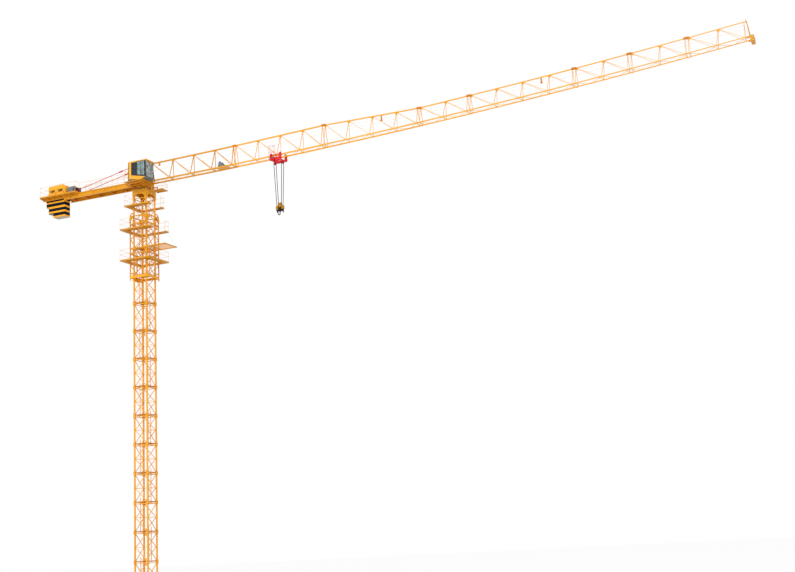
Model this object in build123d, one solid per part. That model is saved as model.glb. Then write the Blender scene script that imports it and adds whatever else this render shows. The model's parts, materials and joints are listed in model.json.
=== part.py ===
"""Flat-top tower crane, one tenth of full size: 100 mm here is 1 m on the crane.

The origin is on the underside of the four feet, on the mast's axis. The jib points along +X,
the cab hangs on the -Y side and +Z is up.
"""

import os
from math import asin, cos, degrees, radians, sin, sqrt

from build123d import *

# Mast
foot_height = 20.0
foot_size = 44.0
foot_plate = 5.0
foot_rib = 3.0
anchor_radius = 2.0
anchor_inset = 7.0
section_height = 280.0
section_count = 13
head_section_height = 250.0
leg_spacing = 148.0
leg_width = 14.0
lacing_width = 7.0
girt_width = 9.0
sleeve_width = 20.0
sleeve_length = 18.0

# Climbing cage round the top of the mast
cage_gap = 11.5
cage_post = 9.0
cage_beam = 8.0
cage_height = 665.0
cage_drop = 190.0
cage_brace = 5.0
cage_stub = 32.0
cage_mid_ring = 270.0
cage_upper_ring = 575.0
roller_levels = (72.0, 540.0)
roller_arm = 10.0
roller_gap = 0.3
shoulder_reach = 46.0
shoulder_height = 62.0
shoulder_curve = 32.0
shoulder_plate = 4.0

# Platforms, measured down from the top of the mast
platform_plate = 5.0
upper_platform_drop = 90.0
upper_platform_walk = 64.0
middle_platform_drop = 340.0
lower_platform_drop = 657.0
cage_platform_walk = 71.5
bracket_depth = 14.0
bracket_width = 5.0
guide_platform_drop = 525.0
guide_platform_length = 187.5
guide_platform_setback = 24.0
guide_platform_lip = 0.5
guide_rail_width = 8.0
guide_rail_depth = 12.0
guide_slat_width = 7.0
guide_slat_depth = 5.0
guide_slats = 7

# Jacking gear of the cage
jack_radius = 6.0
jack_rod_radius = 3.5
jack_clearance = 1.0
jack_rod_length = 90.0
jack_beam_length = 130.0
jack_beam_depth = 16.0

# Slewing supports and ring
support_height = 85.0
support_wall = 8.0
arch_rise = 22.0
arch_half_width = 60.0
support_hole_radius = 8.0
support_hole_height = 32.0
support_hole_offset = 41.0
ring_outer_radius = 82.0
ring_inner_radius = 62.0
ring_height = 12.0
slew_gap = 0.5
turret_height = 77.5
turret_length = 150.0
turret_width = 136.0
turret_flange = 8.0
turret_opening = 90.0

# Tower head above the turret
head_height = 190.0
head_leg = 9.0
head_brace = 6.0
head_front_block = 22.0
head_beam = 13.5

# Jib: cambered triangular lattice, one top chord and two bottom chords
jib_root = 75.0
jib_first_node = 86.0
jib_bay = 248.5
section_bays = (4, 4, 4, 2, 4, 2, 2, 2)
jib_gauge = 87.0
jib_chord_rise = 60.0
camber_radius = 75300.0
chord_width = 13.0
jib_root_height = 198.0
jib_knee_height = 211.0
jib_outer_height = 157.0
knee_bay = 8
outer_bay = 12
post_width = 6.5
diagonal_width = 5.0
joint_post_inset = 15.0
top_node_offset = 20.0
lug_width = 18.0
lug_length = 16.0
tip_reach = 56.0
tip_lug = 6.0
tip_lug_rise = 7.0
tip_beam = 30.0
tip_beam_depth = 52.0
tip_beam_rise = 14.0

# Trolley winch inside the jib
winch_bay = 3.47
winch_drum_radius = 22.0
winch_drum_length = 40.0
winch_drum_gap = 3.0
winch_drum_offset = 32.5
winch_base_length = 130.0
winch_base_plate = 5.0
winch_cheek_rear = 26.0
winch_cheek_front = 58.0
winch_cheek_plate = 4.0
winch_cheek_height = 67.0
winch_cheek_crown = 9.0
winch_motor_radius = 11.0
winch_motor_offset = 29.0
winch_stool_length = 26.0
winch_stool_height = 8.0

# Counter-jib
girder_spacing = 120.0
girder_depth = 58.0
girder_flange = 16.0
girder_plate = 5.0
girder_inset = 1.0
girder_length = 825.0
end_frame_length = 335.0
end_frame_depth = 25.0
end_deck_width = 246.0
end_deck_length = 460.0
deck_plate = 4.0
walkway_width = 100.0
crossbeam_width = 6.0
crossbeam_depth = 24.0
crossbeam_pitch = 165.0
outrigger_count = 7
outrigger_root_depth = 15.0
outrigger_tip_depth = 5.0

# Counterweight slabs and the rails that they hang on
slab_count = 8
slab_thickness = 29.0
slab_gap = 1.0
slab_setback = 25.0
slab_seat = 6.0
slab_width = 84.0
slab_height = 190.0
slab_medium_height = 147.0
slab_short_height = 76.0
hanger_width = 6.0
hanger_depth = 12.0

# Electrical cabinet and hoist winch on the end platform
house_length = 222.0
house_width = 100.0
house_height = 134.0
house_wall = 4.0
house_setback = 58.0
house_eave_drop = 26.0
house_slope_length = 40.0
house_back_drop = 8.0
hoist_setback = 24.0
hoist_base_length = 116.0
hoist_base_width = 156.0
hoist_base_plate = 6.0
hoist_drum_radius = 40.0
hoist_drum_length = 90.0
hoist_drum_gap = 4.0
hoist_cheek_length = 88.0
hoist_cheek_plate = 6.0
gearbox_length = 62.0
gearbox_width = 28.0
gearbox_rise = 26.0
hoist_motor_radius = 24.0
hoist_motor_length = 33.0
motor_foot_length = 36.0
motor_foot_width = 30.0

# Counter-jib stays
stay_spread = 100.0
stay_width = 7.0
stay_eye_length = 14.0
stay_link_width = 12.0
stay_link_length = 46.0
stay_link_offset = 160.0
stay_foot_setback = 95.0
stay_foot_height = 31.0
stay_post_length = 12.0
stay_post_width = 8.0

# Cab
cab_length = 211.0
cab_width = 138.0
cab_height = 200.0
cab_wall = 5.0
cab_rear = -29.0
cab_side = 92.0
cab_drop = 42.0
cab_chamfer_run = 56.0
cab_chamfer_rise = 20.0
cab_front_rake = 6.0
window_rear_sill = 50.0
window_front_sill = 33.0
window_head = 12.0
window_rear_post = 106.0
window_front_post = 14.0
screen_post = 9.0
screen_sill = 6.0
screen_cut = 30.0
glass_thickness = 2.0
glass_inset = 1.0
cab_deck_plate = 6.0
cab_deck_rear = 48.0
cab_deck_front = 34.0
cab_deck_lip = 6.0
cab_beam_width = 12.0
cab_beam_depth = 22.0
cab_beam_inset = 10.0
cab_beam_setback = 20.0

# Access platform under the jib root
access_drop = 37.0
access_reach = 252.0
access_width = 98.0
access_beam = 8.0
access_clearance = 5.0
access_deck_length = 50.0
access_deck_plate = 3.0
access_arm_rise = 12.0

# Trolley
trolley_radius = 1570.0
wheel_radius = 9.0
wheel_width = 6.0
wheel_base = 100.0
wheel_gap = 0.3
wheel_overhang = 1.0
axle_radius = 3.0
trolley_clearance = 5.0
trolley_plate = 4.0
trolley_depth = 52.0
trolley_beam = 9.0
cheek_ear = 10.0
cheek_ear_rise = 6.0
cheek_saddle_inset = 14.0
cheek_saddle_drop = 22.0
cheek_toe = 16.0
cheek_toe_rise = 8.0
trolley_tie_offset = 30.0
trolley_tie_width = 8.0
sheave_spread = 86.0
sheave_radius = 13.5
sheave_width = 5.0
sheave_gap = 0.3
sheave_drop = 1.5
bracket_plate = 3.0
bracket_tip_width = 10.0
bracket_tip_drop = 6.0
basket_length = 52.0
basket_width = 36.0
basket_plate = 3.0

# Hoist ropes, hook block and hook
rope_radius = 1.2
rope_length = 400.0
rope_clearance = 0.3
block_width = 86.0
block_height = 84.0
block_plate = 4.0
block_neck_width = 36.0
block_neck_drop = 22.0
block_shoulder_drop = 32.0
block_waist_drop = 68.0
block_foot_width = 44.0
block_spacer = 12.0
block_sheave_spread = 48.0
block_sheave_radius = 10.5
block_sheave_drop = 42.0
crosshead_length = 26.0
crosshead_lip = 7.0
crosshead_height = 14.0
hook_radius = 11.0
hook_bar = 4.0
hook_sides = 8
hook_sweep = 215.0
hook_bends = 12
hook_shank = 22.0
hook_collar_radius = 8.0
hook_collar_height = 6.0
swivel_gap = 0.3

# Heights and places that follow
mast_top = foot_height + section_count * section_height + head_section_height
leg_half = leg_spacing / 2
mast_half = (leg_spacing + leg_width) / 2
support_half = mast_half + (sleeve_width - leg_width) / 2
cage_inner = support_half + cage_gap
cage_half = cage_inner + cage_post / 2
cage_outer = cage_inner + cage_post
cage_top = mast_top - cage_drop
cage_bottom = cage_top - cage_height
support_top = mast_top + support_height
ring_top = support_top + ring_height
turret_base = ring_top + slew_gap
turret_top = turret_base + turret_height
chord_height = turret_base + jib_chord_rise
head_top = turret_top + head_height
head_beam_x = 2 * head_leg - turret_length / 2
head_beam_z = head_top - head_front_block / 2
head_beam_rear = head_beam_x - head_beam / 2
camber_center = chord_height + camber_radius
gauge_half = jib_gauge / 2
chord_half = chord_width / 2
bay_count = sum(section_bays)
corners = [(1, 1), (-1, 1), (-1, -1), (1, -1)]


def block(x0, x1, y0, y1, z0, z1):
    """Box between two limits on each axis."""
    return Pos(x0, y0, z0) * Box(x1 - x0, y1 - y0, z1 - z0, align=Align.MIN)


def bar(start, end, width, depth=None):
    """Straight rectangular bar between two points; width is level, depth is across it."""
    along = Vector(*end) - Vector(*start)
    level = Vector(0, 0, 1).cross(along)
    if level.length < 1e-6:
        level = Vector(1, 0, 0)
    seat = Plane(origin=start, x_dir=level, z_dir=along)
    ends = (Align.CENTER, Align.CENTER, Align.MIN)
    return seat.location * Box(width, depth or width, along.length, align=ends)


def strut(start, end, width):
    """Square bar that runs half its width past both points, into what it is welded to."""
    along = Vector(*end) - Vector(*start)
    past = along.normalized() * (width / 2)
    first = Vector(*start) - past
    last = Vector(*end) + past
    return bar((first.X, first.Y, first.Z), (last.X, last.Y, last.Z), width)


def plate_xz(points, y0, y1):
    """Plate with an outline in the XZ plane, from y0 to y1."""
    outline = Polyline(*[(x, y0, z) for x, z in points], close=True)
    return extrude(make_face(outline), amount=y1 - y0, dir=(0, 1, 0))


def plate_yz(points, x0, x1):
    """Plate with an outline in the YZ plane, from x0 to x1."""
    outline = Polyline(*[(x0, y, z) for y, z in points], close=True)
    return extrude(make_face(outline), amount=x1 - x0, dir=(1, 0, 0))


def drum(center, radius, length, axis):
    """Cylinder centred on a point, along X, Y or Z."""
    turn = {"X": Rot(0, 90, 0), "Y": Rot(90, 0, 0), "Z": Rot(0, 0, 0)}[axis]
    return Pos(*center) * turn * Cylinder(radius, length)


def joined(pieces):
    """One solid from pieces that meet."""
    return pieces[0] + pieces[1:]


def base_feet():
    """Four foot plates with stub columns, gussets and anchor holes."""
    hole = foot_size / 2 - anchor_inset
    stub = sleeve_width / 2
    feet = []
    for sx, sy in corners:
        plate = Pos(0, 0, foot_plate / 2) * Box(foot_size, foot_size, foot_plate)
        column = block(-stub, stub, -stub, stub, foot_plate, foot_height)
        edge = foot_size / 2 - anchor_radius
        rib = [(-edge, foot_plate), (edge, foot_plate), (stub, foot_height), (-stub, foot_height)]
        ribs = [plate(rib, -foot_rib / 2, foot_rib / 2) for plate in (plate_xz, plate_yz)]
        foot = joined([plate, column] + ribs)
        foot -= [Pos(hx * hole, hy * hole, 0) * Cylinder(anchor_radius, 4 * foot_plate) for hx, hy in corners]
        feet.append(Pos(sx * leg_half, sy * leg_half, 0) * foot)
    return Compound(feet)


def mast_section(height):
    """Square lattice section: four legs with joint sleeves, and a zigzag panel between them on each side."""
    stub = sleeve_width / 2
    leg = joined([
        block(-leg_width / 2, leg_width / 2, -leg_width / 2, leg_width / 2, 0, height),
        block(-stub, stub, -stub, stub, 0, sleeve_length),
        block(-stub, stub, -stub, stub, height - sleeve_length, height),
    ])
    legs = [Pos(sx * leg_half, sy * leg_half, 0) * leg for sx, sy in corners]
    face = leg_half - leg_width / 2
    low = (face, -leg_half, sleeve_length / 2)
    middle = (-face, -leg_half, height / 2)
    high = (face, -leg_half, height - sleeve_length / 2)
    across = (-face, -leg_half, height - sleeve_length / 2)
    bars = [strut(low, middle, lacing_width), strut(middle, high, lacing_width), strut(high, across, girt_width)]
    panel = joined(bars) - legs
    return Compound(legs + [Rot(0, 0, 90 * turn) * panel for turn in range(4)])


def climbing_cage():
    """Open cage: two side frames with the posts and guide arms, and braced panels and beams between them."""
    levels = [cage_bottom + level for level in (cage_stub, cage_mid_ring, cage_upper_ring)]
    top_beam = cage_top - cage_post / 2
    near = mast_half + roller_gap
    panel = []
    for z in levels:
        panel.append(bar((-cage_half, -cage_half, z), (cage_half, -cage_half, z), cage_beam, cage_post))
    for z0, z1 in zip(levels, levels[1:]):
        middle = (cage_inner, -cage_half, (z0 + z1) / 2)
        panel.append(strut((-cage_inner, -cage_half, z0), middle, cage_brace))
        panel.append(strut(middle, (-cage_inner, -cage_half, z1), cage_brace))
    beam = bar((-cage_half, -cage_half, top_beam), (cage_half, -cage_half, top_beam), cage_beam, cage_post)
    posts = []
    for side in (-1, 1):
        x = side * cage_half
        posts.append(bar((x, -cage_half, cage_bottom), (x, -cage_half, cage_top), cage_post))
        for level in roller_levels:
            z = cage_bottom + level
            posts.append(bar((x, -cage_half, z), (side * near, -near, z), roller_arm))
    frame = joined(posts + panel + [beam])
    frames = [frame, Rot(0, 0, 180) * frame]
    between = [Rot(0, 0, 90) * piece - frames for piece in (joined(panel), beam)]
    return Compound(frames + [Rot(0, 0, turn) * piece for turn in (0, 180) for piece in between])


def cage_shoulders():
    """Rounded shoulder plates on the cage's four top corners, bearing on the mast's legs."""
    outer = cage_outer
    inner = outer - shoulder_reach
    low = cage_top - shoulder_height
    curve = shoulder_curve
    outline = [
        Line((-outer, low), (-outer, cage_top - curve)),
        RadiusArc((-outer, cage_top - curve), (-outer + curve, cage_top), curve),
        Line((-outer + curve, cage_top), (-inner, cage_top)),
        Line((-inner, cage_top), (-inner, cage_top - curve / 2)),
        Line((-inner, cage_top - curve / 2), (-outer + cage_post, low)),
        Line((-outer + cage_post, low), (-outer, low)),
    ]
    face = Plane(origin=(0, -cage_outer, 0), x_dir=(1, 0, 0), z_dir=(0, -1, 0)) * make_face(Curve() + outline)
    plate = extrude(face, amount=shoulder_plate)
    pair = [plate, plate.mirror(Plane.YZ)]
    return Compound([Rot(0, 0, 90 * turn) * piece for turn in range(4) for piece in pair])


def ring_platform(inner, walk, top, open_front):
    """Square platform deck of one walk's width round a square opening, on tapered brackets."""
    half = inner + walk
    deck = block(-half, half, -half, half, top - platform_plate, top)
    deck -= block(-inner, inner, -inner, inner, top - platform_plate, top)
    if open_front:
        deck -= block(inner, half, -inner, inner, top - platform_plate, top)
    under = top - platform_plate
    reach = half - bracket_width
    outline = [(inner, under - bracket_depth), (inner, under), (reach, under)]
    arms = []
    for turn in range(1 if open_front else 0, 4):
        for side in (-1, 1):
            middle = side * (inner - bracket_width)
            arm = plate_xz(outline, middle - bracket_width / 2, middle + bracket_width / 2)
            arms.append(Rot(0, 0, 90 * turn) * arm)
    return joined([deck] + arms)


def guide_platform():
    """Slatted platform that new mast sections are rolled in on, with rails through the cage."""
    top = mast_top - guide_platform_drop
    low = top - guide_rail_depth
    rail_out = cage_inner
    rail_in = cage_inner - guide_rail_width
    wide = cage_outer + guide_platform_lip
    start = cage_outer + guide_platform_setback
    reach = start + guide_platform_length
    rails = []
    pieces = []
    for side in (-1, 1):
        edges = sorted((side * rail_in, side * rail_out))
        rails.append(block(-cage_inner, start, *edges, low, top))
        pieces.append(block(start, reach, *edges, low, top))
        edges = sorted((side * (wide - guide_rail_width), side * wide))
        pieces.append(block(start, reach, *edges, low, top))
    for x in (start, reach - guide_rail_width):
        pieces.append(block(x, x + guide_rail_width, -wide, wide, low, top))
    pitch = 2 * rail_in / (guide_slats + 1)
    for index in range(guide_slats):
        y = -rail_in + (index + 1) * pitch
        pieces.append(block(start, reach, y - guide_slat_width / 2, y + guide_slat_width / 2,
                            top - guide_slat_depth, top))
    return Compound(rails + [joined(pieces)])


def jacking_gear():
    """Hydraulic jack on the cage's back side, and the beam that it bears on."""
    x = -(support_half + jack_clearance + jack_radius)
    ring_under = cage_bottom + cage_mid_ring - cage_post / 2
    beam_top = cage_bottom + jack_beam_depth
    body_low = beam_top + jack_rod_length
    body = Pos(x, 0, (body_low + ring_under) / 2) * Cylinder(jack_radius, ring_under - body_low)
    rod = Pos(x, 0, (beam_top + body_low) / 2) * Cylinder(jack_rod_radius, jack_rod_length)
    half = jack_beam_length / 2
    beam = block(x - jack_radius, x + jack_radius, -half, half, cage_bottom, beam_top)
    return joined([body, rod, beam])


def lower_slewing_support():
    """Box frame on the mast with arched lower edges, round holes and an open middle."""
    half = support_half
    inner = half - support_wall
    box = block(-half, half, -half, half, mast_top, support_top)
    box -= block(-inner, inner, -inner, inner, mast_top, support_top - support_wall)
    box -= Pos(0, 0, support_top) * Cylinder(ring_inner_radius, 4 * support_wall)
    arch_radius = (arch_half_width**2 + arch_rise**2) / (2 * arch_rise)
    arch_z = mast_top + arch_rise - arch_radius
    length = 3 * half
    box -= [drum((0, 0, arch_z), arch_radius, length, axis) for axis in ("X", "Y")]
    hole_z = mast_top + support_hole_height
    for side in (-1, 1):
        offset = side * support_hole_offset
        box -= drum((offset, 0, hole_z), support_hole_radius, length, "Y")
        box -= drum((0, offset, hole_z), support_hole_radius, length, "X")
    return box


def slewing_ring():
    """Fixed race of the slewing bearing."""
    ring = Cylinder(ring_outer_radius, ring_height) - Cylinder(ring_inner_radius, ring_height)
    return Pos(0, 0, support_top + ring_height / 2) * ring


def turret():
    """Slewing support above the ring: round flange, box walls and a top plate."""
    length = turret_length / 2
    width = turret_width / 2
    wall = support_wall
    flange_top = turret_base + turret_flange
    plate_low = turret_top - turret_flange
    flange = Pos(0, 0, turret_base + turret_flange / 2) * Cylinder(ring_outer_radius, turret_flange)
    box = block(-length, length, -width, width, flange_top, turret_top)
    box -= block(wall - length, length - wall, wall - width, width - wall, flange_top, plate_low)
    body = flange + box
    opening = turret_opening / 2
    body -= block(-opening, opening, -opening, opening, plate_low, turret_top)
    body -= Pos(0, 0, turret_base) * Cylinder(ring_inner_radius, 4 * turret_flange)
    return body


def tower_head():
    """Short braced head: rear stay beam, front block for the jib's top chord, four legs."""
    foot_x = turret_length / 2 - head_leg
    foot_y = turret_width / 2 - head_leg
    top = head_beam_z
    rear_x = head_beam_x
    front_x = foot_x - head_front_block / 2
    half = stay_spread / 2
    pieces = []
    for side in (-1, 1):
        rear_foot = (-foot_x, side * foot_y, turret_top)
        front_foot = (foot_x, side * foot_y, turret_top)
        rear_top = (rear_x, side * half, top)
        front_top = (front_x, side * head_leg / 2, top)
        middle = (rear_x, side * (foot_y + half) / 2, (turret_top + top) / 2)
        pieces += [
            bar(rear_foot, rear_top, head_leg),
            bar(front_foot, front_top, head_leg),
            bar(rear_top, front_top, head_leg),
            bar(front_foot, middle, head_brace),
            bar(middle, front_top, head_brace),
        ]
    beam_y = half + head_leg
    pieces.append(bar((rear_x, -beam_y, top), (rear_x, beam_y, top), head_beam))
    pieces.append(Pos(front_x, 0, top) * Box(head_front_block, head_front_block, head_front_block))
    under = block(-turret_length / 2, turret_length / 2, -turret_width / 2, turret_width / 2,
                  turret_top - head_leg, turret_top)
    return joined(pieces) - under


def camber(x):
    """Height of the bottom chords' centre line at x."""
    return camber_center - sqrt(camber_radius**2 - x**2)


def node_x(bay):
    """Distance of a bottom node from the mast's axis."""
    return jib_first_node + bay * jib_bay


def lattice_height(bay):
    """Height of the top chord above the bottom chords at a bay."""
    if bay <= knee_bay:
        return jib_root_height + (jib_knee_height - jib_root_height) * bay / knee_bay
    if bay >= outer_bay:
        return jib_outer_height
    share = (bay - knee_bay) / (outer_bay - knee_bay)
    return jib_knee_height + (jib_outer_height - jib_knee_height) * share


def top_height(x):
    """Height of the top chord's centre line at x."""
    return camber(x) + lattice_height((x - jib_first_node) / jib_bay)


def chord(stations, height, y):
    """Square chord through the given stations, kinked at each to follow the camber."""
    top = [(x, height(x) + chord_half) for x in stations]
    low = [(x, height(x) - chord_half) for x in reversed(stations)]
    return plate_xz(top + low, y - chord_half, y + chord_half)


def jib_section(first, last):
    """Lattice section between two joints, with a post frame just inside each joint."""
    start = node_x(first) if first else jib_root
    end = node_x(last)
    stations = [start] + [node_x(bay) for bay in range(first + 1, last)] + [end]
    tops = [node_x(first) + joint_post_inset]
    feet = [node_x(first) + joint_post_inset]
    for bay in range(first + 1, last):
        tops.append(node_x(bay) + top_node_offset)
        feet.append(node_x(bay))
    tops.append(end - joint_post_inset)
    feet.append(end - joint_post_inset)
    pieces = [chord(stations, camber, side * gauge_half) for side in (-1, 1)]
    pieces.append(chord(stations, top_height, 0))
    inner = gauge_half - chord_half / 2
    for index, (x_top, x_foot) in enumerate(zip(tops, feet)):
        z_top = top_height(x_top)
        z_foot = camber(x_foot)
        pieces.append(bar((x_foot, -inner, z_foot), (x_foot, inner, z_foot), post_width))
        for side in (-1, 1):
            pieces.append(bar((x_foot, side * inner, z_foot), (x_top, 0, z_top), post_width))
            if index + 1 < len(feet):
                x_next = feet[index + 1]
                pieces.append(bar((x_top, 0, z_top), (x_next, side * inner, camber(x_next)), diagonal_width))
    for x, way in ((start, 1), (end, -1)):
        near, far = sorted((x, x + way * lug_length))
        z = top_height(x)
        pieces.append(block(near, far, -lug_width / 2, lug_width / 2, z - lug_width / 2, z + lug_width / 2))
    return joined(pieces)


def jib_tip():
    """End frame of the jib: chord stubs, a deep end beam and two ties from the top chord."""
    root = node_x(bay_count)
    reach = root + tip_reach
    z = camber(root)
    top = top_height(root)
    pieces = []
    for side in (-1, 1):
        y = side * gauge_half
        pieces.append(block(root, reach, y - chord_half, y + chord_half, z - chord_half, z + chord_half))
        pieces.append(bar((root + tip_lug, 0, top), (reach - tip_beam, y, z), diagonal_width))
    y = gauge_half + chord_half
    beam_top = z + tip_beam_rise
    pieces.append(block(reach - tip_beam, reach, -y, y, beam_top - tip_beam_depth, beam_top))
    half = lug_width / 2
    pieces.append(block(root, root + tip_lug, -half, half, top - half, top + half + tip_lug_rise))
    return joined(pieces)


def trolley_winch():
    """Trolley winch on a base plate between the bottom chords."""
    x = node_x(winch_bay)
    half = winch_base_length / 2
    y = gauge_half - chord_half
    low = camber(x) - winch_base_plate / 2
    base_top = low + winch_base_plate
    end = winch_drum_length / 2
    drum_x = x - winch_drum_offset
    drum_z = base_top + winch_drum_radius + winch_drum_gap
    motor_x = x + winch_motor_offset
    motor_z = base_top + winch_motor_radius
    stool = winch_stool_length / 2
    pieces = [
        block(x - half, x + half, -y, y, low, base_top),
        drum((drum_x, 0, drum_z), winch_drum_radius, winch_drum_length, "Y"),
        drum((motor_x, 0, motor_z), winch_motor_radius, winch_drum_length, "Y"),
        block(motor_x - stool, motor_x + stool, -end, end, base_top, base_top + winch_stool_height),
    ]
    crown = base_top + winch_cheek_height
    outline = [(drum_x - winch_cheek_rear, base_top), (drum_x + winch_cheek_front, base_top),
               (drum_x + winch_cheek_crown, crown), (drum_x - winch_cheek_crown, crown)]
    for y in (-end, end):
        pieces.append(plate_xz(outline, y - winch_cheek_plate / 2, y + winch_cheek_plate / 2))
    return joined(pieces)


girder_top = turret_top - girder_inset
girder_low = girder_top - girder_depth
girder_root = -turret_length / 2
girder_end = girder_root - girder_length
frame_end = girder_end - end_frame_length
frame_low = girder_top - end_frame_depth
deck_top = girder_top + deck_plate


def i_beam(x0, x1, y, low, top):
    """I-section beam along X."""
    half = girder_flange / 2
    web = girder_plate / 2
    return joined([
        block(x0, x1, y - web, y + web, low, top),
        block(x0, x1, y - half, y + half, low, low + girder_plate),
        block(x0, x1, y - half, y + half, top - girder_plate, top),
    ])


def counter_jib_frame():
    """Two plate girders with cross-beams, and a shallower end frame with rails for the slabs."""
    y = girder_spacing / 2
    pieces = []
    for side in (-1, 1):
        pieces.append(i_beam(girder_end, girder_root, side * y, girder_low, girder_top))
        pieces.append(i_beam(frame_end, girder_end, side * y, frame_low, girder_top))
    count = int(girder_length / crossbeam_pitch)
    for index in range(count + 1):
        x = girder_root - crossbeam_width - index * (girder_length - 2 * crossbeam_width) / count
        pieces.append(block(x - crossbeam_width / 2, x + crossbeam_width / 2, -y, y,
                            girder_low, girder_low + crossbeam_depth))
    for x in (frame_end, (frame_end + girder_end) / 2, girder_end - crossbeam_width):
        pieces.append(block(x, x + crossbeam_width, -y, y, slab_top, girder_top))
    for side in (-1, 1):
        rail = side * slab_width / 4
        pieces.append(block(frame_end, girder_end, rail - hanger_width / 2, rail + hanger_width / 2,
                            slab_top, slab_top + hanger_depth))
    return joined(pieces)


slab_top = frame_low + slab_seat
slab_pitch = slab_thickness + slab_gap
slab_start = frame_end + slab_setback + slab_count * slab_pitch


def counterweights():
    """Concrete slabs hung side by side under the end frame, shorter at the outer end."""
    slabs = []
    for index in range(slab_count):
        height = slab_height
        if index == slab_count - 1:
            height = slab_short_height
        elif index >= slab_count - 3:
            height = slab_medium_height
        x1 = slab_start - index * slab_pitch
        half = slab_width / 2
        slabs.append(block(x1 - slab_thickness, x1, -half, half, slab_top - height, slab_top))
    return Compound(slabs)


def counter_jib_deck():
    """Walkway over the girders and the wider end platform on outrigger brackets."""
    walk = walkway_width / 2
    start = frame_end + end_deck_length
    pieces = [block(start, girder_root, -walk, walk, girder_top, deck_top)]
    wide = end_deck_width / 2
    pieces.append(block(frame_end, start, -wide, wide, girder_top, deck_top))
    outer = girder_spacing / 2 + girder_flange / 2
    outline = [(outer, girder_top - outrigger_root_depth), (outer, girder_top), (wide, girder_top),
               (wide, girder_top - outrigger_tip_depth)]
    pitch = (end_deck_length - crossbeam_width) / (outrigger_count - 1)
    for index in range(outrigger_count):
        x = frame_end + index * pitch
        for side in (-1, 1):
            arm = [(side * y, z) for y, z in outline]
            pieces.append(plate_yz(arm, x, x + crossbeam_width))
    return joined(pieces)


def winch_house():
    """Electrical cabinet with a sloping roof on the end platform, open under its floor line."""
    x0 = frame_end + house_setback
    x1 = x0 + house_length
    y = house_width / 2
    wall = house_wall
    ridge_x = x1 - house_slope_length
    ridge = deck_top + house_height
    eave = ridge - house_eave_drop
    back = ridge - house_back_drop
    outline = [(x0, deck_top), (x1, deck_top), (x1, eave), (ridge_x, ridge), (x0, back)]
    inside = [(x0 + wall, deck_top), (x1 - wall, deck_top), (x1 - wall, eave - wall),
              (ridge_x - wall, ridge - wall), (x0 + wall, back - wall)]
    return plate_xz(outline, -y, y) - plate_xz(inside, wall - y, y - wall)


def hoist_winch():
    """Hoist winch at the mast end of the end platform: drum between cheeks, motor and gearbox."""
    x = girder_end + hoist_setback
    long = hoist_base_length / 2
    wide = hoist_base_width / 2
    base_top = deck_top + hoist_base_plate
    drum_z = base_top + hoist_drum_radius + hoist_drum_gap
    half = hoist_drum_length / 2
    cheek = hoist_cheek_length / 2
    box = gearbox_length / 2
    foot = motor_foot_length / 2
    pieces = [
        block(x - long, x + long, -wide, wide, deck_top, base_top),
        drum((x, 0, drum_z), hoist_drum_radius, hoist_drum_length, "Y"),
        drum((x, half + hoist_motor_length / 2, drum_z), hoist_motor_radius, hoist_motor_length, "Y"),
        block(x - box, x + box, -half - gearbox_width, -half, base_top, drum_z + gearbox_rise),
        block(x - foot, x + foot, half, half + motor_foot_width, base_top, drum_z),
    ]
    for y in (-half, half):
        pieces.append(block(x - cheek, x + cheek, y - hoist_cheek_plate / 2, y + hoist_cheek_plate / 2,
                            base_top, drum_z + hoist_drum_radius))
    return joined(pieces)


def counter_jib_stays():
    """Two tie bars with eyes and link plates, from the tower head down to posts on the counter-jib."""
    foot_x = girder_end + stay_foot_setback
    foot_z = deck_top + stay_foot_height
    start = Vector(head_beam_rear - stay_eye_length / 2, 0, head_beam_z)
    end = Vector(foot_x, 0, foot_z)
    way = (end - start).normalized()
    link_start = start + way * stay_link_offset
    eye = stay_link_width / 2
    stays = []
    for side in (-1, 1):
        y = side * stay_spread / 2
        shift = Vector(0, y, 0)
        stays.append(joined([
            bar(start + shift, end + shift, stay_width),
            bar(link_start + shift, link_start + way * stay_link_length + shift, stay_link_width),
            block(head_beam_rear - stay_eye_length, head_beam_rear, y - eye, y + eye,
                  head_beam_z - eye, head_beam_z + eye),
            block(foot_x - stay_post_length / 2, foot_x + stay_post_length / 2,
                  y - stay_post_width / 2, y + stay_post_width / 2, deck_top, foot_z + stay_width / 2),
        ]))
    return Compound(stays)


cab_near = -(cab_side + cab_width)
cab_far = -cab_side
cab_low = turret_top - cab_drop
cab_high = cab_low + cab_height
cab_front = cab_rear + cab_length
window_high = cab_high - window_head
window_start = cab_rear + window_rear_post
window_end = cab_front - window_front_post
screen_foot = cab_low + cab_chamfer_rise
screen_low = screen_foot + screen_sill
cab_profile = [
    (cab_rear, cab_low),
    (cab_front - cab_chamfer_run, cab_low),
    (cab_front, screen_foot),
    (cab_front - cab_front_rake, cab_high),
    (cab_rear, cab_high),
]
window_profile = [
    (window_start, cab_low + window_rear_sill),
    (window_end, cab_low + window_front_sill),
    (window_end, window_high),
    (window_start, window_high),
]


def cab_windows_cut(depth):
    """Volumes of the cab's window openings."""
    cut = []
    for y in (cab_near, cab_far):
        cut.append(plate_xz(window_profile, y - depth, y + depth))
    cut.append(block(cab_front - screen_cut, cab_front + screen_cut, cab_near + screen_post,
                     cab_far - screen_post, screen_low, window_high))
    return cut


def cab_body():
    """Cab shell with openings for its side windows and front screen."""
    shell = plate_xz(cab_profile, cab_near, cab_far)
    room = make_face(Polyline(*[(x, cab_near + cab_wall, z) for x, z in cab_profile], close=True))
    room = offset(room, amount=-cab_wall, kind=Kind.INTERSECTION)
    shell -= extrude(room, amount=cab_width - 2 * cab_wall, dir=(0, 1, 0))
    shell -= cab_windows_cut(2 * cab_wall)
    return shell


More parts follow.
